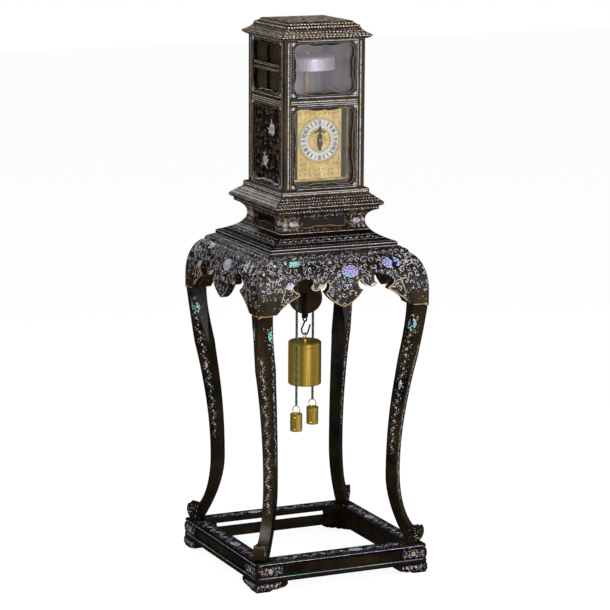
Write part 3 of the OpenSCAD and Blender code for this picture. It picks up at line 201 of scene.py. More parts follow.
def cord_material(name, light, dark):
    """Dyed hemp: dull, slightly furry strands, mottled light and dark. The fibres are drawn about 1 mm
    wide, coarser than real ones, to show."""
    made, tree = new_material(name)
    at = add(tree, "ShaderNodeTexCoord")
    fibre = add(tree, "ShaderNodeTexNoise", {
        "Vector": at.outputs["Object"], "Scale": per_metre(1.1111), "Detail": 3.0})
    cloud = add(tree, "ShaderNodeTexNoise", {
        "Vector": at.outputs["Object"], "Scale": per_metre(16.667), "Detail": 2.0})
    mixed = add(tree, "ShaderNodeMath", {0: fibre, 1: cloud}, operation="MULTIPLY")
    shade = add(tree, "ShaderNodeMix", {0: mixed, 6: dark, 7: light}, data_type="RGBA")
    rise = add(tree, "ShaderNodeBump", {"Height": fibre, "Strength": 0.5, "Distance": 0.4 * MM})
    skin = add(tree, "ShaderNodeBsdfPrincipled", {
        "Base Color": shade.outputs[2], "Roughness": 0.85, "Normal": rise, "Sheen Weight": 0.3})
    add(tree, "ShaderNodeOutputMaterial", {"Surface": skin})
    return made


hemp_green = cord_material("dyed_hemp_green", "#5f9a5c", "#12301c")
hemp_dark = cord_material("dyed_hemp_dark", "#2c4630", "#0c160e")


def extent(node):
    """A CAD node's lowest and highest corner, in millimetres to a tenth."""
    spots = [v.co / MM for v in nodes[node].data.vertices]
    low = [round(min(p[i] for p in spots), 1) for i in range(3)]
    high = [round(max(p[i] for p in spots), 1) for i in range(3)]
    return low, high


def new_piece(name, points, faces, tones, materials):
    """A mesh piece, in which each face's tone says which of the materials it takes."""
    mesh = bpy.data.meshes.new(name)
    mesh.from_pydata(points, [], faces)
    for each in materials:
        mesh.materials.append(each)
    mesh.polygons.foreach_set("material_index", tones)
    mesh.validate()
    piece = bpy.data.objects.new(name, mesh)
    bpy.context.scene.collection.objects.link(piece)
    return piece


def laid_rope(name, path):
    """Three strands laid round a path of (point, across, across) in millimetres, as one closed skin."""
    points = []
    faces = []
    tones = []
    run = 0.0
    around = 3 * STRAND_STEPS
    before = None
    for centre, e1, e2 in path:
        if before is not None:
            run += (centre - before).length
        before = centre
        twist = 2 * math.pi * run / ROPE_LAY
        for k in range(around):
            a = 2 * math.pi * k / around + twist
            lobe = abs(math.sin(math.pi * (k % STRAND_STEPS) / STRAND_STEPS))
            r = ROPE_R * (1 - GROOVE + GROOVE * lobe)
            points.append((centre + r * (math.cos(a) * e1 + math.sin(a) * e2)) * MM)
    last = len(path) - 1
    for i in range(last):
        for k in range(around):
            m = (k + 1) % around
            faces.append((i * around + k, i * around + m, (i + 1) * around + m, (i + 1) * around + k))
            tones.append(1 if k // STRAND_STEPS == DARK_STRAND else 0)
    faces.append(tuple(range(around - 1, -1, -1)))
    faces.append(tuple(last * around + k for k in range(around)))
    tones += [1, 1]
    piece = new_piece(name, points, faces, tones, (hemp_green, hemp_dark))
    piece.data.polygons.foreach_set("use_smooth", [True] * len(faces))
    return piece


def straight(a, b, e1, e2, turned=0.0):
    """Frames along a straight run; the frame turns by the given angle on the way."""
    steps = max(2, round((b - a).length / ROPE_STEP))
    made = []
    for i in range(steps + 1):
        t = i / steps
        c = math.cos(turned * t)
        s = math.sin(turned * t)
        made.append((a + (b - a) * t, c * e1 + s * e2, c * e2 - s * e1))
    return made


def over_sheave(y):
    """Frames over the top of a sheave that stands at y."""
    steps = round(math.pi * SHEAVE_R / ROPE_STEP)
    made = []
    for i in range(steps + 1):
        a = math.pi * (1 - i / steps)
        out_from = math.cos(a) * X + math.sin(a) * Z
        made.append((SHEAVE_R * out_from + y * Y + SHEAVE_Z * Z, out_from, Y))
    return made


sheave_turns = laid_rope("sheave_rope_front", over_sheave(-SHEAVE_Y))
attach(sheave_turns, "clock")
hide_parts("sheave_rope")
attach(laid_rope("sheave_rope_back", over_sheave(SHEAVE_Y)), "clock")

for end, side in (("front", -1), ("back", 1)):
    top = Vector((side * SHEAVE_R, side * SHEAVE_Y, SHEAVE_Z))
    low = Vector((top.x, top.y, extent(f"{end}_counterweight")[1][2]))
    tail = laid_rope(f"rope_{end}_tail", straight(top, low, X, Y))
    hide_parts(f"{end}_tail_rope")
    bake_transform(tail)

# The pulley stands cornerwise: pulley_u points across it and pulley_w along its axle
pulley_u = Vector((1, -1, 0)).normalized()
pulley_w = Vector((1, 1, 0)).normalized()
falls = []
for side in (1, -1):
    top = Vector((side * SHEAVE_R, -side * SHEAVE_Y, SHEAVE_Z))
    low = side * PULLEY_R * pulley_u + PULLEY_Z * Z
    falls.append(straight(top, low, side * X, Y, math.radians(-45 * side)))
under_pulley = []
steps = round(math.pi * PULLEY_R / ROPE_STEP)
for i in range(1, steps):
    a = -math.pi * i / steps
    out_from = math.cos(a) * pulley_u + math.sin(a) * Z
    under_pulley.append((PULLEY_Z * Z + PULLEY_R * out_from, out_from, pulley_w))
bight = laid_rope("rope_fall", falls[0] + under_pulley + falls[1][::-1])
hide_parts("fall_rope")
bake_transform(bight)


# Base frame. Rails of softwood, coated with black and brown-black tree lacquer and polished. Shell is
# let into the tops and along the beads, and four bracket feet, scrolled underneath, carry the corners.
LACQUER_ROUGH = 0.2


def lacquer_material(name, dark, warm, dust=0.0, fleck_hues=("#c9b6c6", "#9fb6b4")):
    """Polished tree lacquer: a deep brown-black gloss, faintly clouded, and wavy from rubbing by hand. dust
    above 0 strews powdered shell in it, in specks about 1.6 mm wide, coarser than real ones, to show."""
    made, tree = new_material(name)
    at = add(tree, "ShaderNodeTexCoord")
    cloud = add(tree, "ShaderNodeTexNoise", {
        "Vector": at.outputs["Object"], "Scale": per_metre(71.43), "Detail": 5.0, "Roughness": 0.6})
    ramp = add(tree, "ShaderNodeMapRange", {0: cloud, 1: 0.38, 2: 0.72})
    shade = add(tree, "ShaderNodeMix", {0: ramp, 6: dark, 7: warm}, data_type="RGBA")
    colour = shade.outputs[2]
    if dust:
        grain = add(tree, "ShaderNodeTexVoronoi", {
            "Vector": at.outputs["Object"], "Scale": per_metre(2.381)})
        split = add(tree, "ShaderNodeSeparateColor", {0: grain.outputs["Color"]})
        chosen = add(tree, "ShaderNodeMath", {0: split, 1: dust}, operation="LESS_THAN")
        near = add(tree, "ShaderNodeMath", {0: grain.outputs["Distance"], 1: 0.34}, operation="LESS_THAN")
        fleck = add(tree, "ShaderNodeMath", {0: chosen, 1: near}, operation="MULTIPLY")
        hue = add(tree, "ShaderNodeMix", {
            0: split.outputs[1], 6: fleck_hues[0], 7: fleck_hues[1]}, data_type="RGBA")
        sprinkled = add(tree, "ShaderNodeMix", {0: fleck, 6: colour, 7: hue.outputs[2]}, data_type="RGBA")
        colour = sprinkled.outputs[2]
    wear = add(tree, "ShaderNodeTexNoise", {
        "Vector": at.outputs["Object"], "Scale": per_metre(22.222), "Detail": 4.0})
    gloss = add(tree, "ShaderNodeMapRange", {
        0: wear, 1: 0.3, 2: 0.75, 3: LACQUER_ROUGH, 4: LACQUER_ROUGH + 0.16})
    hand = add(tree, "ShaderNodeTexNoise", {
        "Vector": at.outputs["Object"], "Scale": per_metre(14.286), "Detail": 2.0})
    rise = add(tree, "ShaderNodeBump", {"Height": hand, "Strength": 0.12, "Distance": 0.8 * MM})
    skin = add(tree, "ShaderNodeBsdfPrincipled", {
        "Base Color": colour, "Roughness": gloss, "Normal": rise, "Specular IOR Level": 0.22})
    add(tree, "ShaderNodeOutputMaterial", {"Surface": skin})
    return made


lacquer_black = lacquer_material("black_lacquer", "#050302", "#110a05")
lacquer_brown = lacquer_material("brown_lacquer", "#1e1509", "#3c2c14")
lacquer_tobacco = lacquer_material("tobacco_lacquer", "#0d0804", "#271c0c")
lacquer_dusted = lacquer_material("shell_dusted_lacquer", "#140d08", "#2e2115", dust=0.12)


def shell_material(name, pale, deep):
    """Cut abalone shell: thin and polished, with a pearly shift of hue every few millimetres."""
    made, tree = new_material(name)
    at = add(tree, "ShaderNodeTexCoord")
    drift = add(tree, "ShaderNodeTexNoise", {
        "Vector": at.outputs["Object"], "Scale": per_metre(3.846), "Detail": 2.0, "Distortion": 1.2})
    spread = add(tree, "ShaderNodeMapRange", {0: drift, 1: 0.32, 2: 0.68})
    shade = add(tree, "ShaderNodeMix", {0: spread, 6: pale, 7: deep}, data_type="RGBA")
    skin = add(tree, "ShaderNodeBsdfPrincipled", {
        "Base Color": shade.outputs[2], "Roughness": 0.24, "Specular IOR Level": 0.7, "Coat Weight": 0.4,
        "Coat Roughness": 0.06})
    add(tree, "ShaderNodeOutputMaterial", {"Surface": skin})
    return made


# The tones of shell, and the gilt lacquer of the lines, in the order of their materials
WHITE, BLUE, MINT, VIOLET, ROSE, GOLD, GILT = range(7)
shells = [
    shell_material("white_shell", "#f0ece8", "#a3a0a6"),
    shell_material("blue_shell", "#adc6ea", "#6582bb"),
    shell_material("mint_shell", "#a6ecd0", "#56ab92"),
    shell_material("violet_shell", "#c9b2e6", "#8672b4"),
    shell_material("rose_shell", "#dcb6b4", "#94605f"),
    shell_material("gold_shell", "#e6d2a0", "#9c7f48"),
    shell_material("gilt_lacquer_line", "#c09a66", "#94713f")]

# Outlines that the shell is sawn to, each drawn 1 long and 1 wide
LEAF = ((0, 0), (0.35, -0.5), (0.75, -0.38), (1, 0), (0.7, 0.42), (0.3, 0.5))
CHIP = ((-0.5, 0), (-0.05, -0.5), (0.5, -0.08), (0.08, 0.5))
STRIP = ((-0.5, -0.5), (0.5, -0.5), (0.5, 0.5), (-0.5, 0.5))
PETAL = ((0, -0.36), (0.5, -0.5), (0.96, -0.38), (1, 0.34), (0.5, 0.5), (0, 0.36))


def sawn(outline, x, y, turn, length, width, tone):
    """A piece of shell sawn to an outline and laid at x, y: its corners, and its tone."""
    c = math.cos(turn)
    s = math.sin(turn)
    return [(x + c * a * length - s * b * width, y + s * a * length + c * b * width)
            for a, b in outline], tone


def leaf(*place):
    """A cut leaf of shell from its stalk at x, y."""
    return sawn(LEAF, *place)


def chip(*place):
    """A small four-sided splinter of shell about x, y."""
    return sawn(CHIP, *place)


def block(*place):
    """A straight strip of shell about x, y."""
    return sawn(STRIP, *place)


# One run of chance strews all the shell, so that it always lies the same way
dice = random.Random(11)


def any_turn():
    """A random heading."""
    return dice.uniform(0, 6.28)


def flower(x, y, size, turn, tones, petals=6):
    """A flower seen from the front: a ring of petals round a small disc."""
    made = []
    for k in range(petals):
        a = turn + 2 * math.pi * k / petals
        made.append(leaf(x + 0.16 * size * math.cos(a), y + 0.16 * size * math.sin(a), a,
                         0.36 * size, 0.30 * size, tones[k % len(tones)]))
    made.append(([(x + 0.13 * size * math.cos(math.pi * k / 3), y + 0.13 * size * math.sin(math.pi * k / 3))
                  for k in range(6)], GOLD))
    return made


# A peony's rings of petals, as (petals, reach, petal's length, petal's width), the last three as shares
# of its size, and how far it is drawn out sideways and pressed flat
PEONY_RINGS = ((5, 0.03, 0.17, 0.14), (8, 0.21, 0.16, 0.215), (12, 0.38, 0.14, 0.22))
PEONY_WIDE = 1.25
PEONY_HIGH = 0.8


def peony(x, y, size, tones):
    """A wide, full flower: three rings of broad petals."""
    made = []
    for count, near, length, width in PEONY_RINGS:
        start = any_turn()
        for k in range(count):
            a = start + 2 * math.pi * k / count
            outline, tone = sawn(PETAL, near * size * math.cos(a), near * size * math.sin(a), a,
                                 length * size * dice.uniform(0.85, 1.1),
                                 width * size * dice.uniform(0.9, 1.0), tones[k * len(tones) // count])
            made.append(([(x + PEONY_WIDE * p, y + PEONY_HIGH * q) for p, q in outline], tone))
    return made


def tone_of(mix):
    """One tone out of a mix, in which a tone that stands more often comes more often."""
    return dice.choice(mix)


# How far a tendril winds, in radians, how far in it comes, and its chips for each millimetre of reach
CURL_WINDS = 3.6
CURL_DRAWS_IN = 0.75
CURL_CHIPS = 0.85


def curl(x, y, turn, hand, reach, mix, leaf_length=4.2):
    """A tendril that winds in on itself, as a run of small chips with a bud at its heart."""
    made = []
    count = max(4, round(reach * CURL_CHIPS))
    for k in range(count):
        t = k / count
        r = reach * (1 - CURL_DRAWS_IN * t)
        a = turn + hand * CURL_WINDS * t
        along = a + hand * (math.pi / 2 + 0.2)
        lean = dice.uniform(0.35, 0.8) * (1 if k % 2 else -1)
        size = leaf_length * dice.uniform(0.75, 1.15)
        made.append(chip(x + r * math.cos(a), y + r * math.sin(a), along + lean, size, 0.36 * size,
                         tone_of(mix)))
    made.append(chip(x, y, turn, 2.4, 2.0, tone_of(mix)))
    return made


def scroll_field(low, high, cell, mix, blooms=0.25, bloom_size=8.0, leaf_length=4.2):
    """Fills a rectangle with tendrils on a loose grid, some with a small flower at the heart."""
    made = []
    columns = max(1, round((high[0] - low[0]) / cell))
    rows = max(1, round((high[1] - low[1]) / cell))
    for i in range(columns):
        for j in range(rows):
            x = low[0] + (i + 0.5 + dice.uniform(-0.18, 0.18)) * (high[0] - low[0]) / columns
            y = low[1] + (j + 0.5 + dice.uniform(-0.18, 0.18)) * (high[1] - low[1]) / rows
            hand = 1 if (i + j) % 2 else -1
            made += curl(x, y, any_turn(), hand, 0.5 * cell, mix, leaf_length)
            if dice.random() < blooms:
                made += flower(x, y, bloom_size, any_turn(), [tone_of(mix)], 5)
    return made


def without_disc(chips, x, y, reach):
    """Leaves out the chips that start within reach of a point, to make room for a flower."""
    return [c for c in chips if math.hypot(c[0][0][0] - x, c[0][0][1] - y) > reach]


def with_peony(chips, x, y, size, tones, bare=0.55):
    """The chips with a peony among them, which stands on bare lacquer of that share of its size."""
    return without_disc(chips, x, y, bare * size) + peony(x, y, size, tones)


def speckle(low, high, count, mix, small=1.1, large=2.6):
    """Chips strewn at random over a rectangle."""
    return [chip(dice.uniform(low[0], high[0]), dice.uniform(low[1], high[1]), any_turn(),
                 dice.uniform(small, large), dice.uniform(0.8, 1.3), tone_of(mix))
            for _ in range(count)]


LEAF_PITCH = 3.4


def vine(length, width, mix, wave=26.0, leaf_length=4.4, bloom=6.0):
    """A winding stem along x from 0 to length, with leaves to both sides and a bud in each bend."""
    made = []
    for k in range(int(length / LEAF_PITCH)):
        x = (k + 0.5) * LEAF_PITCH
        slope = math.atan2(0.24 * width * math.cos(2 * math.pi * x / wave) * 2 * math.pi / wave, 1)
        y = 0.24 * width * math.sin(2 * math.pi * x / wave)
        side = 1 if k % 2 else -1
        size = leaf_length * dice.uniform(0.7, 1.15)
        made.append(chip(x, y + side * 0.14 * width, slope + side * dice.uniform(0.5, 1.1), size,
                         0.4 * size, tone_of(mix)))
        if k % 3 == 0:
            made.append(chip(x, y, slope, 0.8 * size, 0.22 * size, tone_of(mix)))
    for k in range(int(length / (wave / 2))):
        x = (k + 0.5) * wave / 2 + wave / 4
        y = -0.26 * width * math.sin(2 * math.pi * x / wave)
        if x < length - 3:
            made += flower(x, y, bloom * dice.uniform(0.85, 1.15), any_turn(), [tone_of(mix)], 5)
    return made


def dots(half, pitch, length, width, mix, y=0.0):
    """A row of short strips along x from -half to half, at the height y."""
    count = max(1, round(2 * half / pitch))
    return [block(-half + (k + 0.5) * (2 * half) / count, y, 0, length, width, tone_of(mix))
            for k in range(count)]


STRING_GAP = 0.35


def stringing(half, width, mix, piece, y=0.0):
    """A line of shell strips laid end to end along x from -half to half, at the height y."""
    count = max(1, round(2 * half / piece))
    size = 2 * half / count
    return [block(-half + (k + 0.5) * size, y, 0, size - STRING_GAP, width, tone_of(mix))
            for k in range(count)]


def shifted(chips, x, y, turn=0.0):
    """The same pieces, turned about the origin and moved."""
    c = math.cos(turn)
    s = math.sin(turn)
    return [([(x + c * a - s * b, y + s * a + c * b) for a, b in outline], tone) for outline, tone in chips]


surfaces = {}


def surface(name):
    """A node's faces, ready to be met by straight lines."""
    if name not in surfaces:
        mesh = nodes[name].data
        surfaces[name] = BVHTree.FromPolygons([v.co for v in mesh.vertices],
                                              [tuple(p.vertices) for p in mesh.polygons])
    return surfaces[name]


def facing(turn, tip=0.0):
    """The view of a side: across, up and in. turn is 0 for the dial side and goes round to the right; tip
    is how far the view looks down."""
    spin = Matrix.Rotation(math.radians(turn), 3, "Z")
    t = math.radians(tip)
    return (spin @ X, spin @ Vector((0, math.sin(t), math.cos(t))),
            spin @ Vector((0, math.cos(t), -math.sin(t))))


def tipped(half, z, tip):
    """The height at which a point of a side's profile stands in a view that looks down by tip degrees."""
    t = math.radians(tip)
    return z * math.cos(t) - half * math.sin(t)


# How far the shell stands proud of the lacquer and how deep it is let in, from how far off it is dropped,
# the longest piece, and how much the surface may turn under one piece, as the cosine of the angle
SHELL_LIFT = 0.14
SHELL_SINK = 0.5
DROPPED_FROM = 1500
LONGEST_PIECE = 30
TURNS_UNDER_PIECE = 0.9


def inlay(name, sheets, body="clock", steep=0.25, lift=SHELL_LIFT, materials=shells):
    """Lets shell into lacquer. sheets are (node, view, chips): each chip's corners are dropped along the
    view onto the node. Chips that miss it or cross an edge are left out. Each is a thin closed plate."""
    points = []
    faces = []
    tones = []
    for node, (across, rise, look), chips in sheets:
        tree = surface(node)
        for outline, tone in chips:
            top = []
            base = []
            for a, b in outline:
                start = (a * across + b * rise - DROPPED_FROM * look) * MM
                hit, normal, _, _ = tree.ray_cast(start, look)
                if hit is None or normal.dot(look) > -steep:
                    break
                if not top:
                    first_hit = hit
                    first_normal = normal
                elif normal.dot(first_normal) < TURNS_UNDER_PIECE:
                    break
                elif (hit - first_hit).length > LONGEST_PIECE * MM:
                    break
                top.append(hit + normal * lift * MM)
                base.append(hit - normal * SHELL_SINK * MM)
            if len(top) < len(outline):
                continue
            n = len(top)
            at = len(points)
            points += top + base
            ring = list(range(n))
            if (top[1] - top[0]).cross(top[2] - top[0]).dot(first_normal) < 0:
                ring.reverse()
            faces.append(tuple(at + k for k in ring))
            faces.append(tuple(at + n + k for k in reversed(ring)))
            for i, j in zip(ring, ring[1:] + ring[:1]):
                faces.append((at + i, at + n + i, at + n + j, at + j))
            tones += [tone] * (n + 2)
    piece = new_piece(name, points, faces, tones, materials)
    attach(piece, body)
    return piece


def paint(name, *materials, pick=None):
    """Gives a CAD node its materials. pick says which one a face takes, from its centre and normal."""
    mesh = nodes[name].data
    mesh.materials.clear()
    for each in materials:
        mesh.materials.append(each)
    chosen = [pick(face.center / MM, face.normal) if pick else 0 for face in mesh.polygons]
    mesh.polygons.foreach_set("material_index", chosen)
    mesh.update()


# A face counts as flat to the view from this cosine on, and an edge below this length carries no line
FLAT_ENOUGH = 0.98
SHORTEST_LINE = 0.2


def edge_line(node, view, inset, width, tone, keep):
    """Pieces of a line that follows the outline cut in a flat face, set in from its edge by inset. keep
    chooses among the edges by their place in the view."""
    across, rise, look = view
    shape = bmesh.new()
    shape.from_mesh(nodes[node].data)
    bmesh.ops.remove_doubles(shape, verts=shape.verts, dist=1e-6)
    made = []
    for edge in shape.edges:
        if len(edge.link_faces) != 2:
            continue
        facing_us = [f for f in edge.link_faces if f.normal.dot(look) < -FLAT_ENOUGH]
        if len(facing_us) != 1:
            continue
        p, q = [(v.co.dot(across) / MM, v.co.dot(rise) / MM) for v in edge.verts]
        heart = facing_us[0].calc_center_median()
        c = (heart.dot(across) / MM, heart.dot(rise) / MM)
        length = math.hypot(q[0] - p[0], q[1] - p[1])
        if length < SHORTEST_LINE or not keep((p[0] + q[0]) / 2, (p[1] + q[1]) / 2):
            continue
        d = ((q[0] - p[0]) / length, (q[1] - p[1]) / length)
        n = (-d[1], d[0])
        if (c[0] - p[0]) * n[0] + (c[1] - p[1]) * n[1] < 0:
            n = (-n[0], -n[1])
        far = inset + width
        made.append(([(end[0] + by * n[0], end[1] + by * n[1])
                      for end, by in ((p, inset), (q, inset), (q, far), (p, far))], tone))
    shape.free()
    return made


SIDES = (0, 90, 180, 270)
RAIL_NODES = {0: "front_rail", 90: "right_rail", 180: "back_rail", 270: "left_rail"}
# A rail's top lies about this far from the clock's axis, and its upper edge at this half width and height
RAIL_MIDDLE = 183
RAIL_HALF = 202.5
RAIL_EDGE_Z = 60.5
EDGE_TIP = 30
BEAD_Z = 30.5
RUN_HALF = 148
STRING_HALF = 196
BLOCK_X = 171
RAIL_BLOOM_X = 40
FOOT_X = 173
RAIL_MIX = (WHITE, WHITE, BLUE, VIOLET, ROSE, WHITE)
for turn, node in RAIL_NODES.items():
    paint(node, lacquer_black, lacquer_tobacco, pick=lambda spot, normal: 1 if abs(normal.z) < 0.3 else 0)
    top_run = shifted(vine(2 * RUN_HALF, 30, RAIL_MIX, wave=44, leaf_length=5.2, bloom=8.5),
                      -RUN_HALF, -RAIL_MIDDLE)
    top_run += speckle((-160, -RAIL_MIDDLE - 14), (160, -RAIL_MIDDLE + 14), 150, RAIL_MIX, 1.4, 3.0)
    top_run = with_peony(top_run, RAIL_BLOOM_X, -RAIL_MIDDLE, 25, (WHITE, BLUE, WHITE), 0.6)
    upper_edge = stringing(STRING_HALF, 0.8, (WHITE, BLUE, MINT, VIOLET, WHITE), 9,
                           tipped(RAIL_HALF, RAIL_EDGE_Z, EDGE_TIP))
    bead = stringing(STRING_HALF, 0.9, (MINT, BLUE, VIOLET, WHITE), 23, BEAD_Z)
    block_mark = []
    for side in (-1, 1):
        block_mark += shifted(flower(0, 0, 11, 0.4, [ROSE, GOLD]), side * BLOCK_X, 45)
        block_mark += shifted(scroll_field((-27, -10), (27, 10), 10, RAIL_MIX, 0.0, 5, 3.4),
                              side * BLOCK_X, 46)
        block_mark += speckle((side * BLOCK_X - 28, 34), (side * BLOCK_X + 28, 58), 60, RAIL_MIX,
                              1.2, 2.6)
    inlay(f"{node}_shell", [
        (node, facing(turn, 90), top_run), (node, facing(turn, EDGE_TIP), upper_edge),
        (node, facing(turn), bead + block_mark)])

paint("bracket_feet", lacquer_tobacco)
foot_chips = []
for side in (-1, 1):
    foot_chips += shifted(vine(56, 16, RAIL_MIX, wave=22, leaf_length=4.0, bloom=5.5),
                          side * FOOT_X - 28, 14)
    foot_chips += speckle((side * FOOT_X - 30, 4), (side * FOOT_X + 30, 26), 80, RAIL_MIX, 1.2, 2.8)
inlay("bracket_feet_shell", [("bracket_feet", facing(turn), foot_chips) for turn in SIDES])


# Legs. Four curved posts of hardwood, set cornerwise, that swell to a block over each knee and end in an
# upturned scroll. The corner's face is brown with a vine of shell; the sides are black, strewn with it, and
# warm to olive in clouds that are a painted sheen.
LEG_NODES = {(-1, -1): ("front_left_leg", 315), (1, -1): ("front_right_leg", 45),
             (1, 1): ("back_right_leg", 135), (-1, 1): ("back_left_leg", 225)}
# The sides' black lacquer warms to olive in clouds: that olive is a painted sheen
black_with_painted_sheen = lacquer_material("black_lacquer_painted_sheen", "#060402", "#2a200d")
apron_low = extent("front_apron")[0]
KNEE_BLOCK_Z = apron_low[2]
KNEE_HALF = -apron_low[1]
KNEE_DUST_Z = 640
LEG_LOW = 120
LEG_HIGH = 588
VINE_LOW = 262
SIDE_RUN = LEG_HIGH - VINE_LOW - 6
# Shell for a side is drawn on a strip this wide and bent to the leg; a corner's face has it narrowed
LEG_STRIP = 40
FACE_RUN = 352
FACE_LOW = 160
FACE_NARROWED = 0.62
VOLUTE_X = 268
VOLUTE_Z = 84
LEG_MIX = (WHITE, WHITE, WHITE, WHITE, WHITE, BLUE, ROSE)
DIAGONAL = Vector((1, 1, 0)).normalized()
leg_tree = surface("front_left_leg")


def leg_reach(z, outer):
    """How far the leg's front or back lies from the clock's middle, along the diagonal."""
    start = -500 * MM * DIAGONAL if outer else Vector((0, 0, 0))
    hit = leg_tree.ray_cast(start + z * MM * Z, DIAGONAL if outer else -DIAGONAL)[0]
    return -hit.dot(DIAGONAL) / MM


leg_outer = {z: leg_reach(z, True) for z in range(LEG_LOW - 12, LEG_HIGH + 8)}
leg_inner = {z: leg_reach(z, False) for z in range(LEG_LOW - 12, LEG_HIGH + 8)}


def along_leg(chips, hand, low):
    """Bends chips drawn along a straight strip, x up the leg and y across it, to a leg's side face."""
    made = []
    for outline, tone in chips:
        bent = []
        for a, b in outline:
            z = min(max(low + a, LEG_LOW - 10), LEG_HIGH + 6)
            far = leg_outer[round(z)]
            near = leg_inner[round(z)]
            bent.append((hand * ((far + near) / 2 + b * (far - near) / LEG_STRIP), z))
        made.append((bent, tone))
    return made


for node, corner in LEG_NODES.values():
    out_from = -facing(corner)[2]
    paint(node, lacquer_brown, black_with_painted_sheen, lacquer_dusted, pick=lambda spot, normal: (
        2 if spot.z > KNEE_DUST_Z
        else 0 if normal.dot(out_from) > 0.75 or spot.z > KNEE_BLOCK_Z - 5 else 1))
    strewn = vine(FACE_RUN, 24, LEG_MIX, wave=40, leaf_length=4.8, bloom=6.5)
    strewn += speckle((0, -15), (FACE_RUN, 15), 190, LEG_MIX, 1.1, 2.4)
    front = [([(b * FACE_NARROWED, FACE_LOW + a) for a, b in outline], tone) for outline, tone in strewn]
    sheets = [(node, facing(corner), front)]
    for hand, turn in ((-1, corner + 90), (1, corner - 90)):
        chips = vine(SIDE_RUN, 25, LEG_MIX, wave=30, leaf_length=3.8, bloom=5.4)
        chips += speckle((4, -14), (SIDE_RUN, 14), 90, LEG_MIX, 1.0, 2.2)
        for here, size, tones in ((294, 21, (MINT, BLUE, MINT)),
                                  (150 + dice.uniform(-20, 20), 11, (WHITE, ROSE))):
            chips = with_peony(chips, here, 0, size, tones)
        sheets.append((node, facing(turn), along_leg(chips, hand, VINE_LOW)))
        # White and gold chips on the scroll of each toe: painted highlights on its curl, laid as shell
        toe_highlight_chips = curl(hand * VOLUTE_X, VOLUTE_Z, 0.6, -hand, 11, (WHITE, GOLD, WHITE), 3.0)
        toe_highlight_chips += speckle((hand * VOLUTE_X - 18, VOLUTE_Z - 16), (hand * VOLUTE_X + 18, VOLUTE_Z + 20), 26,
                          (WHITE, GOLD, WHITE), 1.2, 2.4)
        sheets.append((node, facing(turn), toe_highlight_chips))
    inlay(f"{node}_shell", sheets, steep=0.2)


# Aprons and shoulder. Thick boards with a cusped lower edge, rounded over at the top to meet the knee
# blocks. All are strewn with scrolls and a few large flowers, and a gilt line follows the cusps.
APRON_NODES = {0: "front_apron", 90: "right_apron", 180: "back_apron", 270: "left_apron"}
APRON_MIX = (WHITE, WHITE, WHITE, WHITE, WHITE, WHITE, WHITE, BLUE, VIOLET, MINT, ROSE)
# Paler tones for the left apron's flowers: a painted highlight of the key lamp on that side
KEY_LIT_PAINTED_TONES = (WHITE, WHITE, VIOLET)
FACE_BOTTOM = 594
FACE_TOP = 676
SHOULDER_TIP = 38
CROWN_HALF = 196
CROWN_LOW = tipped(201, 677, SHOULDER_TIP)
CROWN_HIGH = tipped(164, 720, SHOULDER_TIP)
# The large flowers: (x, the apron's half width there, z, size, tones)
APRON_BLOOMS = ((-111, 175, 707, 29, (MINT, MINT, BLUE)), (17, 192, 684, 31, (VIOLET, BLUE, VIOLET)),
                (117, 186, 695, 32, (VIOLET, BLUE, BLUE)), (-126, 198, 662, 17, (WHITE, VIOLET)),
                (72, 201, 650, 14, (WHITE, MINT)), (-52, 201, 655, 14, (WHITE, ROSE)))
for turn, node in APRON_NODES.items():
    paint(node, lacquer_dusted)
    face = facing(turn)
    crown = facing(turn, SHOULDER_TIP)
    low_field = scroll_field((-201, FACE_BOTTOM), (201, FACE_TOP), 16.0, APRON_MIX, 0.1, 6.5, 4.2)
    low_field += speckle((-201, FACE_BOTTOM), (201, FACE_TOP), 300, APRON_MIX)
    crown_field = scroll_field((-CROWN_HALF, CROWN_LOW), (CROWN_HALF, CROWN_HIGH), 16.0, APRON_MIX,
                               0.08, 6.5, 4.0)
    crown_field += speckle((-CROWN_HALF, CROWN_LOW), (CROWN_HALF, CROWN_HIGH), 240, APRON_MIX)
    for x, half, z, size, tones in APRON_BLOOMS:
        # The left apron, on the key lamp's side, takes paler flowers: a painted highlight
        if node == "left_apron":
            tones = KEY_LIT_PAINTED_TONES
        if z > FACE_TOP - 2:
            crown_field = with_peony(crown_field, x, tipped(half, z, SHOULDER_TIP), size, tones)
        else:
            low_field = with_peony(low_field, x, z, size, tones)
    gilt = edge_line(node, face, 0.1, 2.2, GILT, lambda a, b: b < FACE_TOP and abs(a) < 157)
    low_field = [c for c in low_field if abs(c[0][0][0]) < KNEE_HALF]
    sheets = [(node, face, low_field + gilt), (node, crown, crown_field)]
    for (sx, sy), (leg, corner) in LEG_NODES.items():
        if sx * face[2].x + sy * face[2].y < 0:
            hem = edge_line(leg, face, 0.1, 2.2, GILT,
                            lambda a, b: KNEE_BLOCK_Z - 5.5 < b < KNEE_BLOCK_Z + 3)
            knee = [c for c in low_field if c[0][0][1] > KNEE_BLOCK_Z + 3 + 60 * dice.random()]
            sheets += [(leg, face, knee + hem), (leg, crown, crown_field)]
    inlay(f"{node}_shell", sheets, steep=0.2)


# Stand top and waist. The top is a stepped board with a cove, edged with thin lines of shell. The waist
# boards lean in above it, each with a sunk cartouche among flowers of violet, white and rose shell.
paint("stand_top", lacquer_black)
LINE_MIX = (WHITE, WHITE, WHITE, WHITE, ROSE)
WAIST_MIX = (WHITE, ROSE, GOLD, WHITE, ROSE, VIOLET)
TOP_TIP = 55
TOP_HALF = 149
# Rows of dots on the top's steps: (half width, height, pitch)
TOP_ROWS = ((143.5, 735.2, 6.5), (131, 739.7, 5.2), (116.5, 747.5, 6.0))
WAIST_HALF = 104
WAIST_LOW = 760
WAIST_HIGH = 794
CARTOUCHE_Z = 775.5
CARTOUCHE_HALF = 58
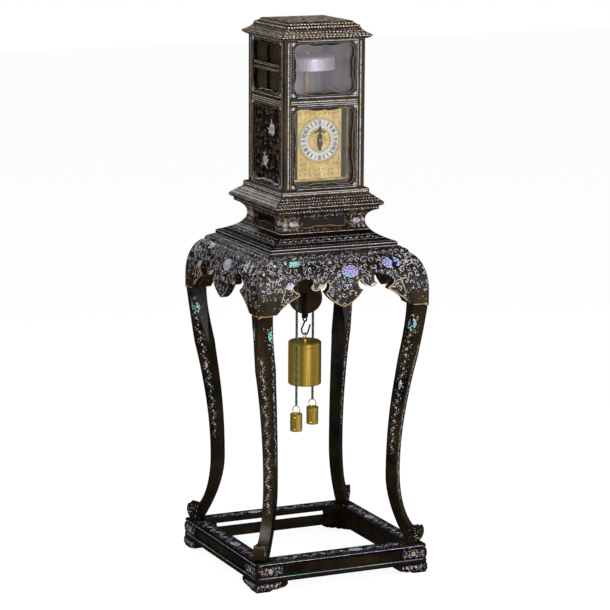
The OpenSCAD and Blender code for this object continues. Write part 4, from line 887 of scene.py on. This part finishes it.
# Flowers beside a cartouche: (x, size)
WAIST_BLOOMS = ((-74, 14), (76, 14), (-93, 9), (93, 9))
top_sheets = []
waist_sheets = []
for turn in SIDES:
    edge = stringing(TOP_HALF, 1.0, LINE_MIX, 14, 731)
    foot = stringing(TOP_HALF, 0.9, LINE_MIX, 16, 724.4)
    rows = []
    for half, z, pitch in TOP_ROWS:
        rows += dots(half - 3, pitch, 3.4, 0.9, LINE_MIX, tipped(half, z, TOP_TIP))
    rows += shifted(vine(236, 11, LINE_MIX, wave=26, leaf_length=3.2, bloom=4.4), -118,
                    tipped(124, 743, TOP_TIP))
    collar = stringing(104, 0.9, LINE_MIX, 12, tipped(105.5, 756.4, TOP_TIP))
    top_sheets += [("stand_top", facing(turn), edge + foot),
                   ("stand_top", facing(turn, TOP_TIP), rows + collar)]
    face = facing(turn)
    window = edge_line("waist_boards", face, 0.3, 0.9, GILT, lambda a, b: abs(a) < 60 and 764 < b < 789)
    field = scroll_field((-WAIST_HALF, WAIST_LOW), (WAIST_HALF, WAIST_HIGH), 9, WAIST_MIX, 0.2, 5.5, 3.0)
    field += speckle((-WAIST_HALF, WAIST_LOW), (WAIST_HALF, WAIST_HIGH), 260, WAIST_MIX, 1.2, 2.6)
    field = [c for c in field
             if abs(c[0][0][0]) >= CARTOUCHE_HALF or abs(c[0][0][1] - CARTOUCHE_Z) >= 14]
    for x, size in WAIST_BLOOMS:
        field = with_peony(field, x, 776, size, (VIOLET, WHITE, ROSE), 0.5)
    waist_sheets.append(("waist_boards", face, window + field))
inlay("stand_top_shell", top_sheets, steep=0.15)
paint("waist_boards", lacquer_brown, lacquer_black, pick=lambda spot, normal: (
    1 if abs(normal.z) < 0.02 and max(abs(spot.x), abs(spot.y)) < 94 else 0))
inlay("waist_boards_shell", waist_sheets, steep=0.2)


# Flange and case floor. A broad moulding of brown lacquer carries the case; rows of small white, rose and
# gold shell run round its upper slope, and a plain line along the floor board.
lacquer_rosy = lacquer_material("rose_dusted_lacquer", "#140c07", "#2a1c11", dust=0.12,
                                fleck_hues=("#cfae98", "#c9bda4"))
paint("case_flange", lacquer_rosy)
paint("case_floor", lacquer_brown)
ROW_MIX = (WHITE, WHITE, ROSE, GOLD, WHITE, ROSE)
MOULDING_TIP = 50
# Rows on the slope: (row's half length, pitch, strip's length, its width, the slope's half width, height)
FLANGE_ROWS = ((119, 6.4, 3.0, 1.8, 122.5, 821), (114, 7.0, 3.4, 1.2, 116.6, 825.2),
               (108, 5.8, 2.6, 1.4, 109.4, 829.6))
flange_sheets = []
floor_sheets = []
for turn in SIDES:
    rows = []
    for row_half, pitch, length, width, half, z in FLANGE_ROWS:
        rows += dots(row_half, pitch, length, width, ROW_MIX, tipped(half, z, MOULDING_TIP))
    fascia = stringing(126, 0.7, (ROSE, WHITE, GOLD), 18, 814.5)
    under = dots(117, 6.8, 3.0, 1.2, (ROSE, WHITE, WHITE), 804.5)
    flange_sheets += [("case_flange", facing(turn, MOULDING_TIP), rows),
                      ("case_flange", facing(turn), fascia + under)]
    band = dots(101, 4.4, 3.1, 2.2, (WHITE, GOLD, WHITE, ROSE), 839.5)
    band += stringing(101, 1.0, (WHITE,), 20, 843.2)
    floor_sheets.append(("case_floor", facing(turn), band))
inlay("case_flange_shell", flange_sheets, steep=0.15)
inlay("case_floor_shell", floor_sheets)


# Case frame. Four corner posts and three middle rails of brown lacquer; a strip of small pearl tiles runs
# up each face of a post and along each rail.
TILE_MIX = (WHITE, GOLD, WHITE, ROSE, WHITE)
posts_low, posts_high = extent("corner_posts")
rails_low, rails_high = extent("mid_rails")
CASE_Z = posts_low[2]
ROOF_Z = posts_high[2]
MID_Z = rails_low[2]
UPPER_Z = rails_high[2]
POST_X = 84.6
for node in ("corner_posts", "mid_rails"):
    paint(node, lacquer_brown)
post_sheets = []
rail_sheets = []
for turn in SIDES:
    strip = dots(156, 4.3, 2.8, 2.3, TILE_MIX)
    posts = []
    for side in (-1, 1):
        posts += shifted(strip, side * POST_X, CASE_Z + 160, math.pi / 2)
    post_sheets.append(("corner_posts", facing(turn), posts))
    if turn != 180:
        middle = dots(78, 4.8, 3.1, 2.2, TILE_MIX, (MID_Z + UPPER_Z) / 2)
        middle += stringing(78, 0.9, (WHITE,), 15, MID_Z + 2.4)
        rail_sheets.append(("mid_rails", facing(turn), middle))
inlay("corner_posts_shell", post_sheets)
inlay("mid_rails_shell", rail_sheets)


# Cornice and roof cap. Stepped mouldings, mitred at the corners, in brown lacquer. Rows of gold, rose and
# white shell run round them, with a fine light line between.
lacquer_golden = lacquer_material("gold_dusted_lacquer", "#1a110a", "#352516", dust=0.16,
                                  fleck_hues=("#dcc596", "#cfbfb2"))
paint("cornice", lacquer_golden)
paint("roof_cap", lacquer_golden)
CORNICE_MIX = (GOLD, WHITE, ROSE, GOLD, WHITE, WHITE)
BED_TIP = -45
CAP_HALF = 68
cornice_sheets = []
cap_sheets = []
for turn in SIDES:
    fascia = dots(105, 7.8, 4.0, 1.6, CORNICE_MIX, 1174.5)
    slope = facing(turn, MOULDING_TIP)
    rows = dots(101, 9.5, 5.0, 2.8, CORNICE_MIX, tipped(103.5, 1178.4, MOULDING_TIP))
    rows += stringing(97, 0.6, (WHITE, GOLD), 15, tipped(98.8, 1181, MOULDING_TIP))
    rows += dots(92, 8.2, 4.0, 2.0, CORNICE_MIX, tipped(94, 1184.2, MOULDING_TIP))
    bed = dots(96, 4.4, 2.8, 1.2, CORNICE_MIX, tipped(98.5, 1168.4, BED_TIP))
    cornice_sheets += [("cornice", facing(turn), fascia), ("cornice", slope, rows),
                       ("cornice", facing(turn, BED_TIP), bed)]
    low_slope = dots(84, 6.8, 3.4, 2.6, CORNICE_MIX, 1194)
    ridge = dots(76, 8.0, 4.4, 2.4, CORNICE_MIX, tipped(79.5, 1200.6, MOULDING_TIP))
    cap_sheets += [("roof_cap", facing(turn), low_slope), ("roof_cap", slope, ridge)]
inlay("cornice_shell", cornice_sheets, steep=0.15)
top_field = scroll_field((-CAP_HALF, -CAP_HALF), (CAP_HALF, CAP_HALF), 13, CORNICE_MIX, 0.4, 7, 4.6)
top_field += speckle((-CAP_HALF, -CAP_HALF), (CAP_HALF, CAP_HALF), 260, CORNICE_MIX, 1.6, 3.2)
top_field += stringing(71, 0.8, (WHITE,), 16, 71)
cap_sheets.append(("roof_cap", facing(0, 90), top_field))
inlay("roof_cap_shell", cap_sheets, steep=0.15)


# Doors and side frames. Lacquered frames with scalloped openings: a line and a row of chips run round the
# outside, small leaves fill the corners, and the scallop has a gilt edge. On the side frames the scallop's
# foot has a wider white line instead, a painted highlight. The doors hang on pivots.
UPPER_MID = (UPPER_Z + ROOF_Z) / 2
LOWER_MID = (CASE_Z + MID_Z) / 2
BAY_HALF = 80.0
# The frames' small chips: their pitch, and how far from the corners the rows start and end
FRAME_PITCH = 5.2
FRAME_END = 12
LINE_WHITE = (WHITE, WHITE, WHITE, GOLD)
LEAF_WHITE = (WHITE, ROSE, GOLD, WHITE, VIOLET)


def box_line(half_x, half_y, width):
    """A rectangle of shell strips, mitred at the corners, about the origin."""
    made = []
    for turn in range(4):
        reach, out_by = (half_x, half_y) if turn % 2 == 0 else (half_y, half_x)
        made += shifted(stringing(reach, width, LINE_WHITE, 16, -out_by), 0, 0, turn * math.pi / 2)
    return made


def corner_fans(half_x, half_y):
    """A spray of leaves in each corner of a frame."""
    made = []
    for sx in (-1, 1):
        for sy in (-1, 1):
            heading = math.atan2(-sy, -sx)
            for k in range(-2, 3):
                made.append(leaf(sx * half_x, sy * half_y, heading + k * 0.42, 7.4 - abs(k) * 0.9, 2.5,
                                 tone_of(LEAF_WHITE)))
    return made


def frame_marks(node, turn, low, high, sill_gilt_or_highlight=GILT):
    """The shell and gilt of one frame, with its node and view. The last argument is the tone of the line at
    the scallop's foot: GILT for a gilt line, WHITE for a painted highlight along that lower edge.
    """
    half = (high - low) / 2
    mid = (low + high) / 2
    marks = box_line(BAY_HALF - 1.8, half - 1.8, 0.9) + corner_fans(BAY_HALF - 5.0, half - 5.0)
    for side in (-1, 1):
        for run, off, upright in ((half, BAY_HALF - 6.3, True), (BAY_HALF, half - 6.0, False)):
            for k in range(round(2 * run / FRAME_PITCH)):
                at = -run + FRAME_END + k * FRAME_PITCH
                if at < run - FRAME_END:
                    x, y = (side * off, at) if upright else (at, side * off)
                    marks.append(chip(x, y, dice.uniform(0, 3), 2.4, 1.3, tone_of(LEAF_WHITE)))
    view = facing(turn)
    upper = edge_line(node, view, 0.1, 0.5, GILT,
                      lambda a, b: abs(a) < BAY_HALF - 6 and mid - half + 24 < b < mid + half - 6)
    lower = edge_line(node, view, 0.1, 0.5 if sill_gilt_or_highlight == GILT else 1.2, sill_gilt_or_highlight,
                      lambda a, b: abs(a) < BAY_HALF - 6 and mid - half + 6 < b <= mid - half + 24)
    return node, view, shifted(marks, 0, mid) + upper + lower


for door, low, high in (("upper_door", UPPER_Z, ROOF_Z), ("lower_door", CASE_Z, MID_Z)):
    paint(f"{door}_frame", lacquer_black)
    inlay(f"{door}_shell", [frame_marks(f"{door}_frame", 0, low, high)], body=door)

# The case's bare inner boards, lined and pale, almost even and without gloss
wall_grey, tree = new_material("pale_lined_board")
at = add(tree, "ShaderNodeTexCoord")
grain = add(tree, "ShaderNodeTexNoise", {
    "Vector": at.outputs["Object"], "Scale": per_metre(33.333), "Detail": 4.0})
shade = add(tree, "ShaderNodeMix", {0: grain, 6: "#f4f0f4", 7: "#fcf8fc"}, data_type="RGBA")
skin = add(tree, "ShaderNodeBsdfPrincipled", {"Base Color": shade.outputs[2], "Roughness": 0.7})
add(tree, "ShaderNodeOutputMaterial", {"Surface": skin})


def inward_grey(spot, normal):
    """Faces that look into the case are grey, all others lacquered."""
    if abs(spot.x) > abs(spot.y):
        return 1 if normal.x * spot.x < -0.9 * abs(spot.x) else 0
    return 1 if normal.y * spot.y < -0.9 * abs(spot.y) else 0


paint("side_window_frames", lacquer_black)
paint("side_panels", lacquer_black, wall_grey, pick=inward_grey)
paint("back_door", lacquer_black, wall_grey, pick=inward_grey)
PANEL_MIX = (WHITE, GOLD, ROSE, GILT, GILT)
PANEL_HALF = 66
window_sheets = []
panel_sheets = []
# On both side frames the line at the scallop's foot is WHITE and wider than gilt: a painted highlight along
# that lower edge
for turn in (90, 270):
    node, view, marks = frame_marks("side_window_frames", turn, UPPER_Z, ROOF_Z, WHITE)
    for dz in (-6.4, -3.2, 3.2, 6.4):
        marks += stringing(PANEL_HALF, 0.6, (WHITE, GOLD), 11, UPPER_MID + dz)
    window_sheets.append((node, view, marks))
    node, view, marks = frame_marks("side_panels", turn, CASE_Z, MID_Z, WHITE)
    marks += speckle((-PANEL_HALF, CASE_Z + 12), (PANEL_HALF, MID_Z - 12), 260, PANEL_MIX, 0.8, 1.9)
    marks += scroll_field((-64, CASE_Z + 14), (64, MID_Z - 14), 21, PANEL_MIX, 0.0, 5, 2.6)
    for x, z, size in ((22, LOWER_MID + 34, 27), (-14, LOWER_MID - 38, 23)):
        marks = without_disc(marks, x, z, 0.42 * size)
        marks += flower(x, z, size, dice.uniform(0, 6), (WHITE, GOLD), 9)
        for _ in range(6):
            a = any_turn()
            marks.append(leaf(x + 0.5 * size * math.cos(a), z + 0.5 * size * math.sin(a), a, 8, 3, WHITE))
    panel_sheets.append((node, view, marks))
inlay("side_window_shell", window_sheets)
inlay("side_panels_shell", panel_sheets)

DOOR_HALF = 76
back_marks = []
for low, high in ((CASE_Z, MID_Z), (UPPER_Z, ROOF_Z)):
    mid = (low + high) / 2
    half = (high - low) / 2
    back_marks += shifted(box_line(DOOR_HALF, half - 4, 0.8), 0, mid)
    back_marks += shifted(corner_fans(DOOR_HALF - 3, half - 7), 0, mid)
    field = scroll_field((-58, low + 20), (58, high - 20), 19, (WHITE, ROSE, VIOLET, BLUE), 0.3, 8, 3.8)
    for x, dz in ((-18, 12), (24, -16)):
        field = without_disc(field, x, mid + dz, 11) + flower(x, mid + dz, 24, 0.3, (WHITE, GOLD), 9)
    back_marks += field
    back_marks += edge_line("back_door", facing(180), 0.1, 0.8, GILT,
                            lambda a, b: abs(a) < DOOR_HALF - 4 and abs(b - mid) < half - 8)
inlay("back_door_shell", [("back_door", facing(180), back_marks)], body="rear_door")


# Glass. Old panes, a little grey, and the upper door's is hazy. On the side panes an olive tint and a dull
# olive layer are a painted reflection. They are cut to size and let into the frames.
def pane_material(name, tint, dull_colour, dull_share):
    """Clear glass that bends nothing, with a thin dull layer: it dims what is behind it and shows gloss. On
    the side panes the olive dull layer is a painted reflection.
    """
    made, tree = new_material(name)
    through = add(tree, "ShaderNodeBsdfTransparent", {"Color": tint})
    dull = add(tree, "ShaderNodeBsdfDiffuse", {"Color": dull_colour})
    gloss = add(tree, "ShaderNodeBsdfGlossy", {"Color": "#ffffff", "Roughness": 0.06})
    bend = add(tree, "ShaderNodeFresnel", {"IOR": 1.45})
    soft = add(tree, "ShaderNodeMath", {0: bend, 1: 0.6}, operation="MULTIPLY")
    under = add(tree, "ShaderNodeMixShader", {0: dull_share, 1: through, 2: dull})
    both = add(tree, "ShaderNodeMixShader", {0: soft, 1: under, 2: gloss})
    add(tree, "ShaderNodeOutputMaterial", {"Surface": both})
    return made


clear_pane = pane_material("old_window_glass", "#f8f8f6", "#8d8b90", 0.03)
hazy_pane = pane_material("hazy_window_glass", "#f4f2f6", "#b4aeb8", 0.10)
# Olive tint and dull olive layer of the side panes: a painted reflection
olive_painted_reflection_pane = pane_material("glass_painted_olive_reflection", "#b9ae90", "#4a4130", 0.30)
paint("upper_door_glass", hazy_pane)
paint("lower_door_glass", clear_pane)
paint("side_glass", olive_painted_reflection_pane)


# Movement. Plates, pillars and wheels of cast brass, filed and rubbed; arbors are of one piece with them.
# It has dulled to a brownish yellow with a few darker clouds.
def metal_material(name, light, dark, rough, grain=25.0, streak=0.0, metal=0.85):
    """Metal with clouds of tarnish grain millimetres wide, and marks of rubbing a twelfth of that, coarser
    than real ones, to show. streak above 0 draws both out along Z, as on turned or drawn work; on the
    weights the drawn-out light and dark bands are painted reflections of strip lamps."""
    made, tree = new_material(name)
    at = add(tree, "ShaderNodeTexCoord")
    squash = add(tree, "ShaderNodeMapping", {"Vector": at.outputs["Object"], "Scale": (1, 1, 1 - streak)})
    cloud = add(tree, "ShaderNodeTexNoise", {"Vector": squash, "Scale": per_metre(grain), "Detail": 6.0})
    spread = add(tree, "ShaderNodeMapRange", {0: cloud, 1: 0.35, 2: 0.7})
    shade = add(tree, "ShaderNodeMix", {0: spread, 6: light, 7: dark}, data_type="RGBA")
    fine = add(tree, "ShaderNodeTexNoise", {
        "Vector": squash, "Scale": per_metre(grain / 12), "Detail": 2.0})
    wear = add(tree, "ShaderNodeMapRange", {0: fine, 1: 0.3, 2: 0.7, 3: rough, 4: rough + 0.12})
    rise = add(tree, "ShaderNodeBump", {"Height": fine, "Strength": 0.15, "Distance": 0.2 * MM})
    skin = add(tree, "ShaderNodeBsdfPrincipled", {
        "Base Color": shade.outputs[2], "Metallic": metal, "Roughness": wear,
        "Normal": rise})
    add(tree, "ShaderNodeOutputMaterial", {"Surface": skin})
    return made


cast_brass = metal_material("filed_cast_brass", "#ffdf86", "#b88e42", 0.34, metal=0.45)
wheel_brass = metal_material("cut_wheel_brass", "#cba24c", "#7d5b26", 0.3)
forged_iron = metal_material("blackened_forged_iron", "#3a3634", "#15110f", 0.42)
bright_steel = metal_material("rubbed_steel", "#a9a8a6", "#5e5b58", 0.3)
for node in ("movement_plates", "movement_pillars", "train_plates", "bell_post"):
    paint(node, cast_brass)
for node in ("hour_wheel", "idler_wheel", "going_great_wheel", "going_second_wheel", "crown_wheel",
             "strike_great_wheel", "pin_wheel", "fly", "count_wheel"):
    paint(node, wheel_brass)
for node in ("verge", "hammer"):
    paint(node, bright_steel)
paint("foliot", cast_brass)

# Boxwood, turned and oiled, and gone dark with handling: a low gloss over a short, wavy grain
sheave_wood, tree = new_material("oiled_boxwood")
at = add(tree, "ShaderNodeTexCoord")
rings = add(tree, "ShaderNodeTexNoise", {
    "Vector": at.outputs["Object"], "Scale": per_metre(18.182), "Detail": 5.0, "Distortion": 0.8})
shade = add(tree, "ShaderNodeMix", {0: rings, 6: "#1d0f08", 7: "#4a2c18"}, data_type="RGBA")
skin = add(tree, "ShaderNodeBsdfPrincipled", {
    "Base Color": shade.outputs[2], "Roughness": 0.42, "Specular IOR Level": 0.35})
add(tree, "ShaderNodeOutputMaterial", {"Surface": skin})
for node in ("going_sheave", "strike_sheave", "pulley_wheel"):
    paint(node, sheave_wood)


# Bell. A shallow silvery cup of bell metal, turned and polished, and screwed to its post. What tarnish
# it has is faint and stands in upright bars.
bell_metal = metal_material("polished_bell_metal", "#ffffff", "#f0efed", 0.24, 40.0, 0.9, 0.3)
paint("bell", bell_metal)


# Dial. A gilt plate engraved all over with scrolls, a silvered ring with twice twelve hours cut in and
# filled with black wax, and a pierced iron hand.
gilt_plate = metal_material("engraved_gilt_plate", "#f2da94", "#d2ad5c", 0.34, 16.667, 0.0, 0.6)
silvered = metal_material("silvered_ring", "#ffffff", "#f4f2ec", 0.4, 20.0, 0.0, 0.05)
blued_hand = metal_material("blackened_hand", "#2b2521", "#0f0c0a", 0.36)
paint("dial_plate", gilt_plate)
paint("chapter_ring", silvered)
paint("hour_hand", blued_hand)
# Wax in the numerals is dull and near black; the engraver's cuts are a brown gold that is their painted
# shade
wax_black, tree = new_material("black_wax_fill")
skin = add(tree, "ShaderNodeBsdfPrincipled", {"Base Color": "#100d0b", "Roughness": 0.5})
add(tree, "ShaderNodeOutputMaterial", {"Surface": skin})
cuts_painted_shade, tree = new_material("engraving_cuts_painted_shade")
skin = add(tree, "ShaderNodeBsdfPrincipled", {"Base Color": "#6b4c1c", "Roughness": 0.5, "Metallic": 0.6})
add(tree, "ShaderNodeOutputMaterial", {"Surface": skin})

ring_low, ring_high = extent("chapter_ring")
DIAL_Z = (ring_low[2] + ring_high[2]) / 2
WAX = 0
CUT = 1
NUMERAL_HIGH = 8.8
NUMERAL_R = 38.2
# Widths of the letters, and how far a V's and an X's strokes lean, in radians
LETTER_WIDE = {"I": 2.0, "V": 3.4, "X": 3.6}
V_LEAN = 0.17
X_LEAN = 0.3
HALF_HOUR_R = 29.6
# The ring's circles: (radius, width)
RING_LINES = ((44.6, 0.9), (31.9, 0.5), (26.0, 0.9))


def circle_line(radius, width, tone, steps=72, start=0.0, end=2 * math.pi):
    """A thin arc drawn as short straight pieces about the origin."""
    made = []
    for k in range(steps):
        a0, a1 = (start + (end - start) * j / steps for j in (k, k + 1))
        corners = ((radius, a0), (radius, a1), (radius + width, a1), (radius + width, a0))
        made.append(([(r * math.cos(a), r * math.sin(a)) for r, a in corners], tone))
    return made


def numeral(text):
    """A Roman numeral as strokes of wax about the origin."""
    made = []
    x = -sum(LETTER_WIDE[c] for c in text) / 2
    for c in text:
        mid = x + LETTER_WIDE[c] / 2
        if c == "I":
            made.append(block(mid, 0, math.pi / 2, NUMERAL_HIGH, 1.4, WAX))
        elif c == "V":
            made.append(block(mid - 0.8, 0, math.pi / 2 + V_LEAN, NUMERAL_HIGH, 1.5, WAX))
            made.append(block(mid + 0.8, 0, math.pi / 2 - V_LEAN, NUMERAL_HIGH, 0.8, WAX))
        else:
            made.append(block(mid, 0, math.pi / 2 + X_LEAN, NUMERAL_HIGH + 0.2, 1.5, WAX))
            made.append(block(mid, 0, math.pi / 2 - X_LEAN, NUMERAL_HIGH + 0.2, 0.8, WAX))
        x += LETTER_WIDE[c]
    return made


HOURS = ("XII", "I", "II", "III", "IIII", "V", "VI", "VII", "VIII", "IX", "X", "XI")
marks = []
for k in range(24):
    a = math.pi / 2 - 2 * math.pi * k / 24
    marks += shifted(numeral(HOURS[k % 12]), NUMERAL_R * math.cos(a), NUMERAL_R * math.sin(a),
                     a - math.pi / 2)
    b = a + math.pi / 24
    marks.append(block(HALF_HOUR_R * math.cos(b), HALF_HOUR_R * math.sin(b), b, 2.2, 0.7, WAX))
for radius, width in RING_LINES:
    marks += circle_line(radius, width, WAX)
inlay("chapter_numerals", [("chapter_ring", facing(0), shifted(marks, 0, DIAL_Z))],
      materials=[wax_black, cuts_painted_shade], lift=0.08)

# The plate's middle lies below the dial's, and its scrolls stand this far apart outside the ring
PLATE_DROP = 9
SCROLL_PITCH = 11
BARE_R = 56
ARC_END = 0.87
plate = []
for x in range(-44, 45, SCROLL_PITCH):
    for z in range(-76, 80, SCROLL_PITCH):
        if math.hypot(x, z - PLATE_DROP) > BARE_R:
            hand = 1 if (x + z) % 2 else -1
            plate += curl(x + dice.uniform(-1.5, 1.5), z + dice.uniform(-1.5, 1.5), any_turn(), hand, 4.6,
                          (CUT,), 2.9)
            plate.append(leaf(x, z, any_turn(), 4.6, 1.5, CUT))
plate = shifted(plate, 0, DIAL_Z - PLATE_DROP)
rim = shifted(circle_line(47.6, 0.5, CUT) + circle_line(49.4, 0.5, CUT), 0, DIAL_Z)
# The dark arc above the centre is the window that shows the day of the count; its darkness is drawn in the
# same painted shade as the cuts
centre = circle_line(17.2, 5.0, CUT, 24, ARC_END, math.pi - ARC_END)
centre += circle_line(11.2, 0.7, CUT, 48)
centre += circle_line(23.4, 0.6, CUT, 60)
for k in range(12):
    a = 2 * math.pi * k / 12
    centre.append(leaf(12.6 * math.cos(a), 12.6 * math.sin(a), a, 3.6, 1.4, CUT))
centre = shifted(centre, 0, DIAL_Z)
inlay("dial_engraving", [("dial_plate", facing(0), plate + rim + centre)], materials=[wax_black, cuts_painted_shade],
      lift=0.07)


# Weights. The pulley is a dark wooden wheel in an iron strap with an eye and a hook. The driving weight
# and the two counterweights are brass shells with a satin polish, and the upright light and dark
# streaks in their colour are painted reflections of strip lamps.
# Upright light and dark bands in this brass: painted reflections of strip lamps
brass_painted_strip_reflections = metal_material("satin_brass_painted_reflections", "#ffdb66", "#946517", 0.26, 21.739, 0.985)
for node in ("driving_weight", "front_counterweight", "back_counterweight"):
    paint(node, brass_painted_strip_reflections)
paint("pulley_strap", forged_iron)
